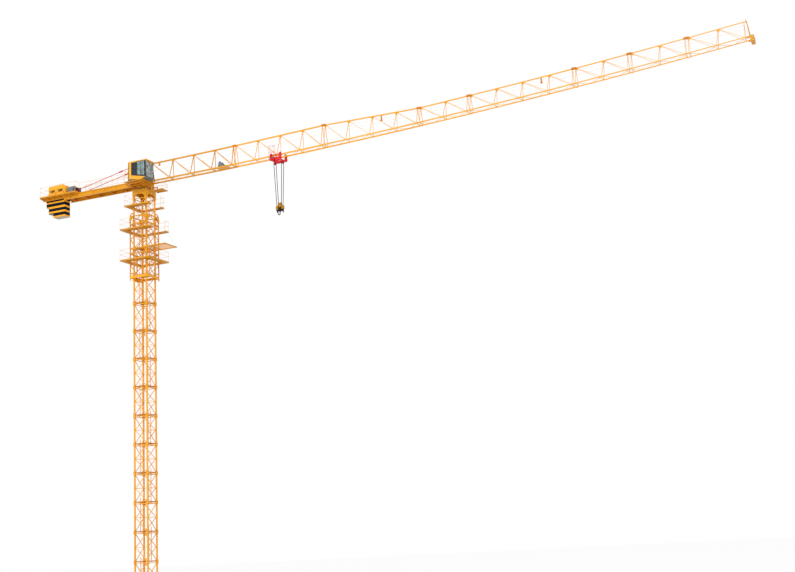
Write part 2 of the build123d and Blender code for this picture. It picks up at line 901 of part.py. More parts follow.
def cab_glass():
    """Panes in the cab's openings."""
    panes = []
    for y in (cab_near + glass_inset, cab_far - glass_inset - glass_thickness):
        panes.append(plate_xz(window_profile, y, y + glass_thickness))
    slope = cab_front_rake / (cab_high - screen_foot)
    low_x = cab_front - glass_inset - slope * screen_sill
    high_x = cab_front - glass_inset - slope * (window_high - screen_foot)
    outline = [(low_x - glass_thickness, screen_low), (low_x, screen_low), (high_x, window_high),
               (high_x - glass_thickness, window_high)]
    panes.append(plate_xz(outline, cab_near + screen_post, cab_far - screen_post))
    return Compound(panes)


def cab_deck():
    """Deck under and behind the cab, carried on two beams from the turret."""
    rear = cab_rear - cab_deck_rear
    top = cab_low
    low = top - cab_deck_plate
    root = -turret_width / 2
    pieces = [block(rear, cab_front - cab_deck_front, cab_near - cab_deck_lip, cab_far, low, top)]
    outline = [(cab_near + cab_beam_setback, low), (root, low), (root, low - cab_beam_depth)]
    reach = turret_length / 2 - cab_beam_inset
    for x in (-reach, reach - cab_beam_width):
        pieces.append(plate_yz(outline, x, x + cab_beam_width))
        pieces.append(block(x, x + cab_beam_width, cab_far, root, low, top))
    return joined(pieces)


def access_platform():
    """Small access platform under the jib's root, hung from the turret."""
    top = turret_base - access_drop
    low = top - access_beam
    half = access_width / 2
    rim = access_beam / 2
    start = support_half * sqrt(2) + access_clearance
    arm_low = turret_base + access_arm_rise
    arm_top = arm_low + access_beam
    pieces = [
        block(access_reach - access_beam, access_reach, -half, half, low, top),
        block(start, start + access_deck_length, -half, half, top - access_deck_plate, top),
    ]
    for y in (-half, half):
        pieces += [
            block(start, access_reach, y - rim, y + rim, low, top),
            block(start, start + access_beam, y - rim, y + rim, low, arm_top),
            block(turret_length / 2, start + access_beam, y - rim, y + rim, arm_low, arm_top),
        ]
    return joined(pieces)


# The trolley is drawn under the jib at x = 0, then swung along the camber to its place.
trolley_turn = degrees(asin(trolley_radius / camber_radius))
trolley_place = Pos(0, 0, camber_center) * Rot(0, -trolley_turn, 0) * Pos(0, 0, -camber_center)
axle_z = chord_height + chord_half + wheel_gap + wheel_radius
wheel_y = gauge_half + chord_half - wheel_width / 2 + wheel_overhang
cheek_in = gauge_half + chord_half + trolley_clearance
cheek_out = cheek_in + trolley_plate
trolley_low = chord_height - trolley_depth
sheave_z = trolley_low - sheave_radius - sheave_drop


def trolley_frame():
    """Two cheek plates outside the bottom chords, cross-beams under them and sheave brackets."""
    half = wheel_base / 2
    ear_top = axle_z + cheek_ear_rise
    saddle = chord_height - cheek_saddle_drop
    right = [
        (half - cheek_saddle_inset, saddle), (half - cheek_ear, ear_top), (half + cheek_ear, ear_top),
        (half + cheek_toe, trolley_low + cheek_toe_rise), (half + cheek_toe - cheek_toe_rise, trolley_low),
    ]
    left = [(-x, z) for x, z in reversed(right)]
    pieces = []
    for side in (-1, 1):
        pieces.append(plate_xz(right + left, *sorted((side * cheek_in, side * cheek_out))))
        stub_in = wheel_y + wheel_width / 2 + wheel_gap
        for x in (-half, half):
            pieces.append(drum((x, side * (stub_in + cheek_in) / 2, axle_z), axle_radius, cheek_in - stub_in, "Y"))
    spread = sheave_spread / 2
    beam_top = trolley_low + trolley_beam
    tip = bracket_tip_width / 2
    tip_low = sheave_z - bracket_tip_drop
    near = sheave_width / 2 + sheave_gap
    for x in (-spread, spread):
        pieces.append(block(x - trolley_beam, x + trolley_beam, -cheek_in, cheek_in, trolley_low, beam_top))
        outline = [(x - trolley_beam, trolley_low), (x + trolley_beam, trolley_low), (x + tip, tip_low),
                   (x - tip, tip_low)]
        for side in (-1, 1):
            pieces.append(plate_xz(outline, *sorted((side * near, side * (near + bracket_plate)))))
    tie = trolley_tie_width / 2
    for y in (-trolley_tie_offset, trolley_tie_offset):
        pieces.append(block(-spread, spread, y - tie, y + tie, trolley_low, beam_top))
    rear = -half - cheek_ear
    pieces.append(block(rear, rear + basket_length, -cheek_out - basket_width, -cheek_out,
                        beam_top, beam_top + basket_plate))
    return trolley_place * joined(pieces)


def trolley_wheels():
    """Four wheels on the bottom chords."""
    half = wheel_base / 2
    wheels = [drum((x, side * wheel_y, axle_z), wheel_radius, wheel_width, "Y")
              for x in (-half, half) for side in (-1, 1)]
    return trolley_place * Compound(wheels)


def trolley_sheaves():
    """Two rope sheaves under the trolley, each on a pin between its brackets."""
    sheaves = []
    for x in (-sheave_spread / 2, sheave_spread / 2):
        sheaves.append(drum((x, 0, sheave_z), sheave_radius, sheave_width, "Y"))
    return trolley_place * Compound(sheaves)


rope_pivot = trolley_place * Pos(0, 0, sheave_z)
pivot_x = rope_pivot.position.X
pivot_z = rope_pivot.position.Z
block_top = pivot_z - rope_length
block_sheave_z = block_top - block_sheave_drop
rope_tops = [side * sheave_spread / 2 + way * (sheave_radius + rope_radius + rope_clearance)
             for side in (-1, 1) for way in (-1, 1)]
rope_feet = [side * block_sheave_spread / 2 + way * (block_sheave_radius + rope_radius + rope_clearance)
             for side in (-1, 1) for way in (-1, 1)]


def hoist_ropes():
    """Four taut rope falls from the trolley's sheaves to the hook block's."""
    ropes = [bar((pivot_x + top, 0, pivot_z), (pivot_x + foot, 0, block_sheave_z), 2 * rope_radius)
             for top, foot in zip(rope_tops, rope_feet)]
    return Compound(ropes)


def hook_block():
    """Two cheek plates round a pair of sheaves, a head spacer and a crosshead for the hook."""
    half = block_width / 2
    neck = block_neck_width / 2
    foot = block_foot_width / 2
    gap = sheave_width / 2 + sheave_gap
    low = block_top - block_height
    shoulder = block_top - block_shoulder_drop
    waist = block_top - block_waist_drop
    right = [(neck, block_top), (neck, block_top - block_neck_drop), (half, shoulder), (half, waist), (foot, low)]
    left = [(-x, z) for x, z in reversed(right)]
    outline = [(pivot_x + x, z) for x, z in right + left]
    spacer = block_spacer / 2
    head = crosshead_length / 2
    wide = gap + crosshead_lip
    return joined([
        plate_xz(outline, gap, gap + block_plate),
        plate_xz(outline, -gap - block_plate, -gap),
        block(pivot_x - spacer, pivot_x + spacer, -gap, gap, block_top - block_spacer, block_top),
        block(pivot_x - head, pivot_x + head, -wide, wide, low, low + crosshead_height),
    ])


def block_sheaves():
    """Sheaves of the hook block."""
    return Compound([drum((pivot_x + side * block_sheave_spread / 2, 0, block_sheave_z), block_sheave_radius,
                          sheave_width, "Y") for side in (-1, 1)])


def hook():
    """Single hook on a swivelling shank under the crosshead."""
    top = block_top - block_height - swivel_gap
    collar_low = top - hook_collar_height
    start = top - hook_shank
    collar = drum((pivot_x, 0, (top + collar_low) / 2), hook_collar_radius, hook_collar_height, "Z")
    shank = drum((pivot_x, 0, (collar_low + start) / 2), hook_bar, collar_low - start, "Z")
    section = Pos(pivot_x, 0, start) * RegularPolygon(hook_bar, hook_sides)
    turns = [radians(hook_sweep * bend / hook_bends) for bend in range(hook_bends + 1)]
    line = Polyline(*[(pivot_x - hook_radius * (1 - cos(turn)), 0, start - hook_radius * sin(turn)) for turn in turns])
    return joined([collar, shank, sweep(section, path=line, transition=Transition.RIGHT)])


nodes = {
    "base_feet": base_feet(),
    "climbing_cage": climbing_cage(),
    "cage_shoulders": cage_shoulders(),
    "upper_platform": ring_platform(mast_half, upper_platform_walk, mast_top - upper_platform_drop, True),
    "middle_platform": ring_platform(cage_outer, cage_platform_walk, mast_top - middle_platform_drop, True),
    "lower_platform": ring_platform(cage_outer, cage_platform_walk, mast_top - lower_platform_drop, False),
    "guide_platform": guide_platform(),
    "jacking_gear": jacking_gear(),
    "lower_slewing_support": lower_slewing_support(),
    "slewing_ring": slewing_ring(),
    "turret": turret(),
    "tower_head": tower_head(),
    "access_platform": access_platform(),
    "cab_deck": cab_deck(),
    "cab_body": cab_body(),
    "cab_glass": cab_glass(),
    "jib_tip": jib_tip(),
    "trolley_winch": trolley_winch(),
    "counter_jib_frame": counter_jib_frame(),
    "counter_jib_deck": counter_jib_deck(),
    "counter_jib_stays": counter_jib_stays(),
    "counterweights": counterweights(),
    "winch_house": winch_house(),
    "hoist_winch": hoist_winch(),
    "trolley_frame": trolley_frame(),
    "trolley_wheels": trolley_wheels(),
    "trolley_sheaves": trolley_sheaves(),
    "hoist_ropes": hoist_ropes(),
    "hook_block": hook_block(),
    "block_sheaves": block_sheaves(),
    "hook": hook(),
}
standard_section = mast_section(section_height)
for index in range(section_count):
    base = foot_height + index * section_height
    nodes[f"mast_section_{index + 1:02d}"] = Pos(0, 0, base) * standard_section
nodes["mast_head_section"] = Pos(0, 0, mast_top - head_section_height) * mast_section(head_section_height)
first_bay = 0
for index, bays in enumerate(section_bays):
    nodes[f"jib_section_{index + 1}"] = jib_section(first_bay, first_bay + bays)
    first_bay += bays

os.makedirs("parts", exist_ok=True)
for name, shape in nodes.items():
    export_step(shape, f"parts/{name}.step")
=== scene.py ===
"""Looks of a flat-top tower crane at one tenth of full size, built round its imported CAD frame."""

import json
from math import cos, pi, radians, sin, sqrt

import bmesh
import bpy
from bpy.props import FloatProperty, FloatVectorProperty, IntProperty, PointerProperty
from bpy.types import Operator, Panel, PropertyGroup
from mathutils import Matrix, Vector


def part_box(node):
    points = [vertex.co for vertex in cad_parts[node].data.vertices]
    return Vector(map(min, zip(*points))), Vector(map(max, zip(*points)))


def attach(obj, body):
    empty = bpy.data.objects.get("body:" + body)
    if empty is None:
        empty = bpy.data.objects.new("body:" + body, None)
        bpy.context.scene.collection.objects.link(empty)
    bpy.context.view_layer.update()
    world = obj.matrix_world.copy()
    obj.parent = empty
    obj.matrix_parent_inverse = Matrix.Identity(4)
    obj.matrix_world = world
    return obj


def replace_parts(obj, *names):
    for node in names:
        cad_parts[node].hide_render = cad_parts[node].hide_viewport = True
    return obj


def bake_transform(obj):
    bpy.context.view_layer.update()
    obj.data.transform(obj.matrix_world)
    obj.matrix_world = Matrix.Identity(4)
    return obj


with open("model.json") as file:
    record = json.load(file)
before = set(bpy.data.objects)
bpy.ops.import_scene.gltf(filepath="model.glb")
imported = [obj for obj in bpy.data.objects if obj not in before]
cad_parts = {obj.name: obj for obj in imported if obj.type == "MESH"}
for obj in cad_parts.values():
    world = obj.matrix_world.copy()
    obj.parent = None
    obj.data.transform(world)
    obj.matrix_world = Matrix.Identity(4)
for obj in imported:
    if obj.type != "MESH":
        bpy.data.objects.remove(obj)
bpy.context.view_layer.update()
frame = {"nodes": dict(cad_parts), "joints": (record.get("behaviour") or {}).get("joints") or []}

bl_info = {
    "name": "Tower Crane Looks",
    "version": (1, 0, 0),
    "blender": (4, 5, 0),
    "location": "View3D > Sidebar > Crane",
    "description": "Dresses a flat-top tower crane with fittings, finishes and a plain stage",
    "category": "Object",
}

# Camera, in metres and degrees, with the lens in millimetres on a 36 mm sensor
camera_place = Vector((7.18265, -10.07596, 0.29378))
camera_azimuth = radians(-23.684)
camera_tilt = radians(12.038)
camera_roll = radians(-2.793)
camera_lens = 56.09

# Sizes that the CAD nodes have
leg_half = 0.074
sleeve_half = 0.010
foot_plate = 0.005
anchor_reach = 0.015
section_pitch = 0.280
section_count = 13
gauge_half = 0.0435
chord_half = 0.0065
jib_first_node = 0.086
jib_bay = 0.2485
section_bays = (4, 4, 4, 2, 4, 2, 2, 2)
post_inset = 0.015
top_offset = 0.020

# Bays and the height of the jib there, from bottom chords to top chord
jib_heights = ((0, 0.198), (8, 0.211), (12, 0.157), (24, 0.157))

# Widths of chords, posts and diagonals in jib sections 2 to 8, which get slimmer towards the tip
member_widths = ((0.0118, 0.0046, 0.0040), (0.0106, 0.0042, 0.0036), (0.0098, 0.0040, 0.0034),
                 (0.0090, 0.0038, 0.0032), (0.0082, 0.0036, 0.0030), (0.0076, 0.0034, 0.0028),
                 (0.0068, 0.0032, 0.0026))

# Distance of a handrail from its deck's edge, and thickness of a toe board
rail_inset = 0.004
toe_thickness = 0.0014

# Where the hoist rope comes into the jib, with its share of the jib's height
lead_x = 0.090
lead_y = 0.006
lead_share = 0.62

# Start of each finish's name, which tells it from the frame's own plain materials
finish_prefix = "crane "

# Places that follow from the frame
foot_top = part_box("base_feet")[1].z
mast_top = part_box("mast_head_section")[1].z
deck_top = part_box("counter_jib_deck")[1].z
chord_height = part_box("turret")[0].z + 0.060
joints = {joint["name"]: joint for joint in frame["joints"]}
camber_center = joints["trolley_travel"]["pos_m"][2]
camber_radius = camber_center - chord_height
plumb = Vector(joints["rope_plumb"]["pos_m"])
cab_low, cab_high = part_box("cab_body")

# Joints of the mast from the foot up and of the jib from its root
mast_joints = [foot_top + section_pitch * index for index in range(section_count + 1)]
jib_bays = sum(section_bays)
jib_joints = [jib_first_node + jib_bay * sum(section_bays[:count]) for count in range(1, len(section_bays))]

# Nodes of the frame that are seen, by finish
frame_finishes = {
    "crane_paint": ("winch_house",),
    # Shaded girder paint is painted shade: the orange darkened for parts that lie in shade.
    "girder_paint": ("climbing_cage", "cage_shoulders", "turret", "tower_head", "jacking_gear",
                     "jib_section_1", "jib_tip"),
    # Deck grating has painted shade in its holes.
    "deck_grating": ("upper_platform", "middle_platform", "lower_platform", "access_platform", "cab_deck",
                     "counter_jib_deck"),
    "dark_steel": ("base_feet", "slewing_ring"),
    "red_paint": ("trolley_frame",),
    "grey_paint": ("hoist_winch",),
    "winch_paint": ("trolley_winch",),
    "weight_paint": ("counterweights",),
    "cab_paint": ("cab_body",),
    "cab_glass": ("cab_glass",),
    "block_paint": ("hook_block",),
}


def linear(code):
    """Linear colour from a six-digit hex code."""
    channels = [int(code[start:start + 2], 16) / 255 for start in (0, 2, 4)]
    return [c / 12.92 if c <= 0.04045 else ((c + 0.055) / 1.055) ** 2.4 for c in channels]


def colour_property(label, code, note):
    """Colour that a user may change, from a hex code."""
    return FloatVectorProperty(name=label, description=note, subtype="COLOR", size=3, min=0, max=1,
                               default=linear(code))


def length_property(label, metres, note):
    """Length that a user may change, in metres."""
    return FloatProperty(name=label, description=note, default=metres, min=0, unit="LENGTH", precision=4)


class CraneColours(PropertyGroup):
    """Colours of the crane's finishes."""

    paint: colour_property("Paint", "FAAE14", "Orange-yellow paint of the steelwork")
    navy: colour_property("Navy", "0A131E", "Dark blue of the cab panels and the slab bands")
    bands: colour_property("Bands", "FFAE2A", "Light bands on the counterweight slabs")
    red: colour_property("Red", "E01B26", "Red of the trolley and the stays")
    grey: colour_property("Grey", "72777B", "Grey enamel of the winches and the cab's consoles")
    steel: colour_property("Steel", "3A3D40", "Oiled dark steel of pins, bearings and wheels")
    black: colour_property("Black", "0B0C0D", "Black of the hook, the block's stripes and the cab's seals")
    rope: colour_property("Rope", "0D0E10", "Greased wire rope")
    concrete: colour_property("Concrete", "B7AC9B", "Concrete of the counterweight slabs")
    # Girder paint is painted shade: the orange darkened for the girders, cage, platforms, trolley winch bed
    # and hook block cheeks, which lie in shade.
    girder: colour_property("Girder paint", "E09A14", "Duller orange of the girders, cage and platforms")
    # Joint plates is painted shade: a browner, darker orange for joint plates, pins, bolts, mast girts,
    # cross-beams and beams under the decks.
    joint: colour_property("Joint plates", "D07C08", "Darker paint of joint plates, pins and cross-beams")
    # Line also colours the painted glare, a painted reflection, on the cab's front glass.
    line: colour_property("Line", "EBDCC0", "Pale ropes along the jib, and glare on the cab's glass")
    basket: colour_property("Basket", "E8606A", "Faded red of the trolley's basket")
    glass: colour_property("Glass", "9DBDBE", "Tint of the cab windows")
    bare: colour_property("Bare metal", "8C8378", "Metal and primer where paint has worn off")
    dust: colour_property("Dust", "C9B79A", "Dust on upward faces")


class CraneSizes(PropertyGroup):
    """Sizes of the crane's fittings, on the model."""

    rail_height: length_property("Rail height", 0.110, "Height of a handrail above its deck")
    rail_radius: length_property("Rail radius", 0.0012, "Radius of a handrail tube")
    post_spacing: length_property("Post spacing", 0.125,
                                  "Distance between handrail posts, stretched to fit each span")
    toe_height: length_property("Toe board", 0.009, "Height of the toe board along a deck's edge")
    ladder_width: length_property("Ladder width", 0.042, "Distance between ladder rails")
    rung_pitch: length_property("Rung pitch", 0.028, "Distance between ladder rungs")
    bolt_radius: length_property("Bolt radius", 0.0030, "Radius across the corners of a bolt head")
    rope_radius: length_property("Rope radius", 0.003, "Radius of the hoist rope")
    line_radius: length_property("Line radius", 0.0004, "Radius of lifelines and tie wires")
    mast_leg: length_property("Mast leg", 0.0128, "Width of a mast leg")
    mast_lacing: length_property("Mast lacing", 0.0056, "Width of the mast's slanting bars")
    mast_girt: length_property("Mast girt", 0.0066, "Width of the level bars at the top of a mast section")
    girder_depth: length_property("Girder depth", 0.046, "Depth of the counter-jib's main girders")
    grease_points: IntProperty(name="Grease points", description="Grease points round the slewing ring",
                               default=12, min=3)


def sizes():
    """Sizes set for the scene."""
    return bpy.context.scene.crane_sizes


def tint(name):
    """One of the scene's colours, with alpha."""
    return (*getattr(bpy.context.scene.crane_colours, name), 1.0)


class Graph:
    """Short way to add and wire nodes in one tree."""

    def __init__(self, tree):
        self.tree = tree

    def put(self, socket, value):
        """Links a socket to an output, or sets its value."""
        if isinstance(value, bpy.types.NodeSocket):
            self.tree.links.new(value, socket)
        else:
            socket.default_value = value

    def node(self, kind, inputs=None, **settings):
        """Adds a node with its settings and its inputs by name or place."""
        made = self.tree.nodes.new(kind)
        for name, value in settings.items():
            setattr(made, name, value)
        for name, value in (inputs or {}).items():
            self.put(made.inputs[name], value)
        return made

    def first(self, kind, inputs=None, **settings):
        """First output of a new node."""
        return self.node(kind, inputs, **settings).outputs[0]

    def math(self, operation, *values, clamp=False):
        """Output of a math node."""
        return self.first("ShaderNodeMath", dict(enumerate(values)), operation=operation, use_clamp=clamp)

    def mix(self, share, first, second, blend="MIX"):
        """Output of a colour mix."""
        inputs = {0: share, 6: first, 7: second}
        made = self.node("ShaderNodeMix", inputs, data_type="RGBA", blend_type=blend)
        return made.outputs[2]

    def ramp(self, value, low, high, first=0.0, second=1.0):
        """Value mapped from one range to another with smooth ends."""
        return self.first("ShaderNodeMapRange", {0: value, 1: low, 2: high, 3: first, 4: second},
                          interpolation_type="SMOOTHSTEP")

    def noise(self, coordinates, scale, detail=3.0, stretch=None):
        """Output of a noise texture, stretched along the axes if asked."""
        if stretch:
            coordinates = self.first("ShaderNodeMapping", {"Vector": coordinates, "Scale": stretch})
        return self.first("ShaderNodeTexNoise", {"Vector": coordinates, "Scale": scale, "Detail": detail})

    def axes(self, vector):
        """X, Y and Z of a vector."""
        return self.node("ShaderNodeSeparateXYZ", {0: vector}).outputs[:3]

    def vector(self, x=0.0, y=0.0, z=0.0):
        """Vector from three values."""
        return self.first("ShaderNodeCombineXYZ", {0: x, 1: y, 2: z})


def group_sockets(tree, inputs, outputs):
    """Names a node group's inputs, with the defaults that they have, and its outputs."""
    for name, kind, value in inputs:
        socket = tree.interface.new_socket(name, in_out="INPUT", socket_type="NodeSocket" + kind)
        if value is not None:
            socket.default_value = value
    for name, kind in outputs:
        tree.interface.new_socket(name, in_out="OUTPUT", socket_type="NodeSocket" + kind)


def weathering():
    """Shader group: uneven paint, rain streaks, dust on upward faces and bare metal along edges."""
    name = "Weathered paint"
    if name in bpy.data.node_groups:
        return bpy.data.node_groups[name]
    tree = bpy.data.node_groups.new(name, "ShaderNodeTree")
    white = (1.0, 1.0, 1.0, 1.0)
    group_sockets(
        tree,
        [("Paint", "Color", white), ("Bare", "Color", white), ("Dust", "Color", white),
         ("Edge Wear", "Float", 0.4), ("Dust Amount", "Float", 0.3), ("Streaks", "Float", 0.3),
         ("Roughness", "Float", 0.4)],
        [("Color", "Color"), ("Roughness", "Float"), ("Metallic", "Float"), ("Height", "Float")],
    )
    graph = Graph(tree)
    given = graph.node("NodeGroupInput").outputs
    place = graph.node("ShaderNodeTexCoord")
    where = place.outputs["Object"]
    broad = graph.noise(where, 2.6, 4.0)
    fine = graph.noise(where, 38.0, 5.0)
    runs = graph.noise(where, 1.0, 4.0, (70.0, 70.0, 5.0))
    grain = graph.noise(where, 900.0, 2.0)
    speckle = graph.ramp(fine, 0.3, 0.7, -0.03, 0.03)
    tone = graph.math("ADD", graph.ramp(broad, 0.25, 0.75, 0.90, 1.05), speckle)
    shade = graph.first("ShaderNodeCombineColor", {0: tone, 1: tone, 2: tone})
    paint = graph.mix(1.0, given["Paint"], shade, "MULTIPLY")
    streak = graph.math("MULTIPLY", graph.ramp(runs, 0.52, 0.74), given["Streaks"])
    darker = graph.mix(1.0, paint, (0.52, 0.43, 0.36, 1.0), "MULTIPLY")
    paint = graph.mix(streak, paint, darker)
    up = graph.axes(place.outputs["Normal"])[2]
    lying = graph.math("MULTIPLY", graph.ramp(up, 0.5, 0.95), graph.ramp(fine, 0.35, 0.65, 0.25, 1.0))
    dusty = graph.math("MULTIPLY", lying, given["Dust Amount"])
    paint = graph.mix(dusty, paint, given["Dust"])
    smooth = graph.first("ShaderNodeBevel", {"Radius": 0.0016}, samples=4)
    sharp = graph.node("ShaderNodeNewGeometry").outputs["Normal"]
    compare = graph.node("ShaderNodeVectorMath", {0: smooth, 1: sharp}, operation="DOT_PRODUCT")
    agree = compare.outputs["Value"]
    edge = graph.ramp(agree, 0.995, 0.80)
    chipped = graph.math("MULTIPLY", edge, graph.ramp(fine, 0.48, 0.60))
    worn = graph.math("MULTIPLY", chipped, given["Edge Wear"])
    colour = graph.mix(worn, paint, given["Bare"])
    rough = graph.math("ADD", given["Roughness"], graph.ramp(fine, 0.3, 0.7, -0.06, 0.08))
    rough = graph.math("ADD", rough, graph.math("MULTIPLY", dusty, 0.4), clamp=True)
    height = graph.math("SUBTRACT", graph.math("MULTIPLY", grain, 0.4), graph.math("MULTIPLY", worn, 0.8))
    graph.node("NodeGroupOutput", {"Color": colour, "Roughness": rough,
                                   "Metallic": graph.math("MULTIPLY", worn, 0.7), "Height": height})
    return tree


def blank_finish(name):
    """New material, its graph and its Principled shader."""
    material = bpy.data.materials.new(name)
    material.use_nodes = True
    shader = next(node for node in material.node_tree.nodes if node.type == "BSDF_PRINCIPLED")
    return material, Graph(material.node_tree), shader


def painted(name, paint, rough, wear, dust, streaks=0.3, relief=None, depth=0.0004, gloss=0.4):
    """Weathered paint; paint is a colour's name, or a function that draws the colour on the graph."""
    material, graph, shader = blank_finish(name)
    shader.inputs["Specular IOR Level"].default_value = gloss
    colour = paint(graph) if callable(paint) else tint(paint)
    values = {"Bare": tint("bare"), "Dust": tint("dust"), "Edge Wear": wear, "Dust Amount": dust,
              "Streaks": streaks, "Roughness": rough, "Paint": colour}
    weather = graph.node("ShaderNodeGroup", node_tree=weathering())
    for key, value in values.items():
        graph.put(weather.inputs[key], value)
    height = weather.outputs["Height"]
    if relief:
        height = graph.math("ADD", height, relief(graph))
    bump = graph.node("ShaderNodeBump", {"Strength": 0.35, "Distance": depth, "Height": height})
    for key in ("Metallic", "Roughness"):
        graph.put(shader.inputs[key], weather.outputs[key])
    graph.put(shader.inputs["Base Color"], weather.outputs["Color"])
    graph.put(shader.inputs["Normal"], bump.outputs[0])
    return material


def object_axes(graph):
    """Object coordinates on three sockets."""
    return graph.axes(graph.node("ShaderNodeTexCoord").outputs["Object"])


def normal_axes(graph):
    """Object normal on three sockets."""
    return graph.axes(graph.node("ShaderNodeTexCoord").outputs["Normal"])


def grating_relief(graph):
    """Square mesh of a grating, for upward and downward faces only."""
    pitch = 0.0045
    gaps = []
    for axis in object_axes(graph)[:2]:
        wave = graph.math("PINGPONG", graph.math("DIVIDE", axis, pitch), 0.5)
        gaps.append(graph.ramp(wave, 0.10, 0.22))
    hole = graph.math("MULTIPLY", *gaps)
    flat = graph.ramp(graph.math("ABSOLUTE", normal_axes(graph)[2]), 0.8, 0.95)
    return graph.math("MULTIPLY", graph.math("MULTIPLY", hole, flat), -3.0)


def grating_paint_with_shaded_holes(graph):
    """Paint that darkens in the holes of a grating as painted shade, on the shaded orange."""
    hole = graph.math("MULTIPLY", grating_relief(graph), -0.28, clamp=True)
    return graph.mix(hole, tint("girder"), graph.mix(0.42, tint("girder"), tint("black")))


def slab_bands(graph):
    """Level bands of two colours round the slabs, and bare concrete on their upper and lower faces."""
    low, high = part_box("counterweights")
    drop = graph.math("SUBTRACT", high.z, object_axes(graph)[2])
    drop = graph.math("DIVIDE", drop, high.z - low.z)
    bands = graph.node("ShaderNodeValToRGB", {0: drop})
    bands.color_ramp.interpolation = "CONSTANT"
    points = bands.color_ramp.elements
    points[0].color = tint("navy")
    points[1].position = 0.092
    points[1].color = tint("bands")
    for index, start in enumerate((0.182, 0.352, 0.468, 0.630, 0.738, 0.908)):
        points.new(start).color = tint("bands" if index % 2 else "navy")
    level = graph.ramp(graph.math("ABSOLUTE", normal_axes(graph)[2]), 0.8, 0.9)
    return graph.mix(level, bands.outputs[0], tint("concrete"))


def concrete_relief(graph):
    """Pits and shutter marks in concrete."""
    where = graph.node("ShaderNodeTexCoord").outputs["Object"]
    pits = graph.ramp(graph.noise(where, 220.0, 2.0), 0.30, 0.42, -1.2, 0.0)
    return graph.math("ADD", pits, graph.noise(where, 30.0, 5.0))


def cab_panels(graph):
    """Cab colours: orange frame, dark blue panels and rear, grey chamfer, dark screen surround."""
    place = object_axes(graph)
    facing = normal_axes(graph)
    run = graph.math("SUBTRACT", place[0], cab_low.x)
    rise = graph.math("SUBTRACT", place[2], cab_low.z)
    wedge = graph.math("MULTIPLY_ADD", run, -0.133, 0.0192)
    band = graph.math("MULTIPLY_ADD", run, -0.21, 0.0621)
    over_band = graph.math("GREATER_THAN", rise, band)
    navy = graph.math("MULTIPLY", over_band, graph.math("GREATER_THAN", run, 0.036))
    for value, limit in ((rise, wedge), (run, 0.008), (facing[0], -0.7)):
        navy = graph.math("MAXIMUM", navy, graph.math("LESS_THAN", value, limit))
    under_rim = graph.math("LESS_THAN", rise, 0.187)
    navy = graph.math("MULTIPLY", navy, under_rim)
    colour = graph.mix(navy, tint("paint"), tint("navy"))
    front = graph.math("MULTIPLY", graph.math("GREATER_THAN", facing[0], 0.9), under_rim)
    colour = graph.mix(front, colour, tint("black"))
    ahead = graph.math("GREATER_THAN", facing[0], 0.3)
    slant = graph.math("MULTIPLY", ahead, graph.math("LESS_THAN", facing[2], -0.3))
    return graph.mix(slant, colour, tint("grey"))


def winch_panels(graph):
    """Trolley winch colours: grey cheeks and drum on a bed in the shaded orange, which is painted shade."""
    bed_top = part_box("trolley_winch")[0].z + 0.014
    bed = graph.math("LESS_THAN", object_axes(graph)[2], bed_top)
    return graph.mix(bed, tint("grey"), tint("girder"))


def block_panels(graph):
    """Hook block colours: cheeks in the shaded orange, darkened a little more as painted shade, with
    slanting dark stripes, dark seams and a dark lower middle.
    """
    low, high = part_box("hook_block")
    seam_off = 0.0165
    stripe_pitch = 0.012
    place = object_axes(graph)
    z = place[2]
    off = graph.math("ABSOLUTE", graph.math("SUBTRACT", place[0], (low.x + high.x) / 2))
    dark = graph.math("LESS_THAN", z, low.z + 0.018)
    inside = graph.math("LESS_THAN", off, seam_off)
    middle = graph.math("MULTIPLY", inside, graph.math("LESS_THAN", z, low.z + 0.040))
    dark = graph.math("MAXIMUM", dark, middle)
    from_seam = graph.math("ABSOLUTE", graph.math("SUBTRACT", off, seam_off))
    seam = graph.math("LESS_THAN", from_seam, 0.0024)
    slant = graph.math("PINGPONG", graph.math("DIVIDE", graph.math("ADD", off, z), stripe_pitch), 0.5)
    stripe = graph.math("MULTIPLY", graph.math("GREATER_THAN", slant, 0.29), 0.85)
    # The cheeks take the shaded orange, painted shade, with a little black mixed in.
    cheeks = graph.mix(stripe, graph.mix(0.12, tint("girder"), tint("black")), tint("black"))
    return graph.mix(graph.math("MAXIMUM", dark, seam), cheeks, tint("black"))


def rope_finish(name, colour, shine):
    """Wire rope with its strands as a slanting relief, and painted shade that darkens the grooves between
    them.
    """
    material, graph, shader = blank_finish(name)
    paint = tint(colour)
    x, y, z = object_axes(graph)
    turn = graph.math("ADD", graph.math("MULTIPLY", z, 900.0), graph.math("MULTIPLY", x, 500.0))
    lay = graph.math("PINGPONG", graph.math("ADD", turn, graph.math("MULTIPLY", y, 500.0)), 1.0)
    where = graph.node("ShaderNodeTexCoord").outputs["Object"]
    grease = graph.ramp(graph.noise(where, 14.0, 4.0), 0.35, 0.7)
    shade = graph.mix(grease, paint, graph.mix(1.0, paint, (0.7, 0.66, 0.6, 1.0), "MULTIPLY"))
    # The grooves between the strands are darkened as painted shade.
    groove = graph.mix(1.0, shade, (0.3, 0.3, 0.3, 1.0), "MULTIPLY")
    graph.put(shader.inputs["Base Color"], graph.mix(graph.ramp(lay, 0.0, 0.35), groove, shade))
    graph.put(shader.inputs["Roughness"], graph.ramp(grease, 0.0, 1.0, 0.5, 0.7))
    shader.inputs["Metallic"].default_value = shine
    shader.inputs["Specular IOR Level"].default_value = 0.2
    bump = graph.node("ShaderNodeBump", {"Strength": 0.5, "Distance": 0.0004, "Height": lay})
    graph.put(shader.inputs["Normal"], bump.outputs[0])
    return material


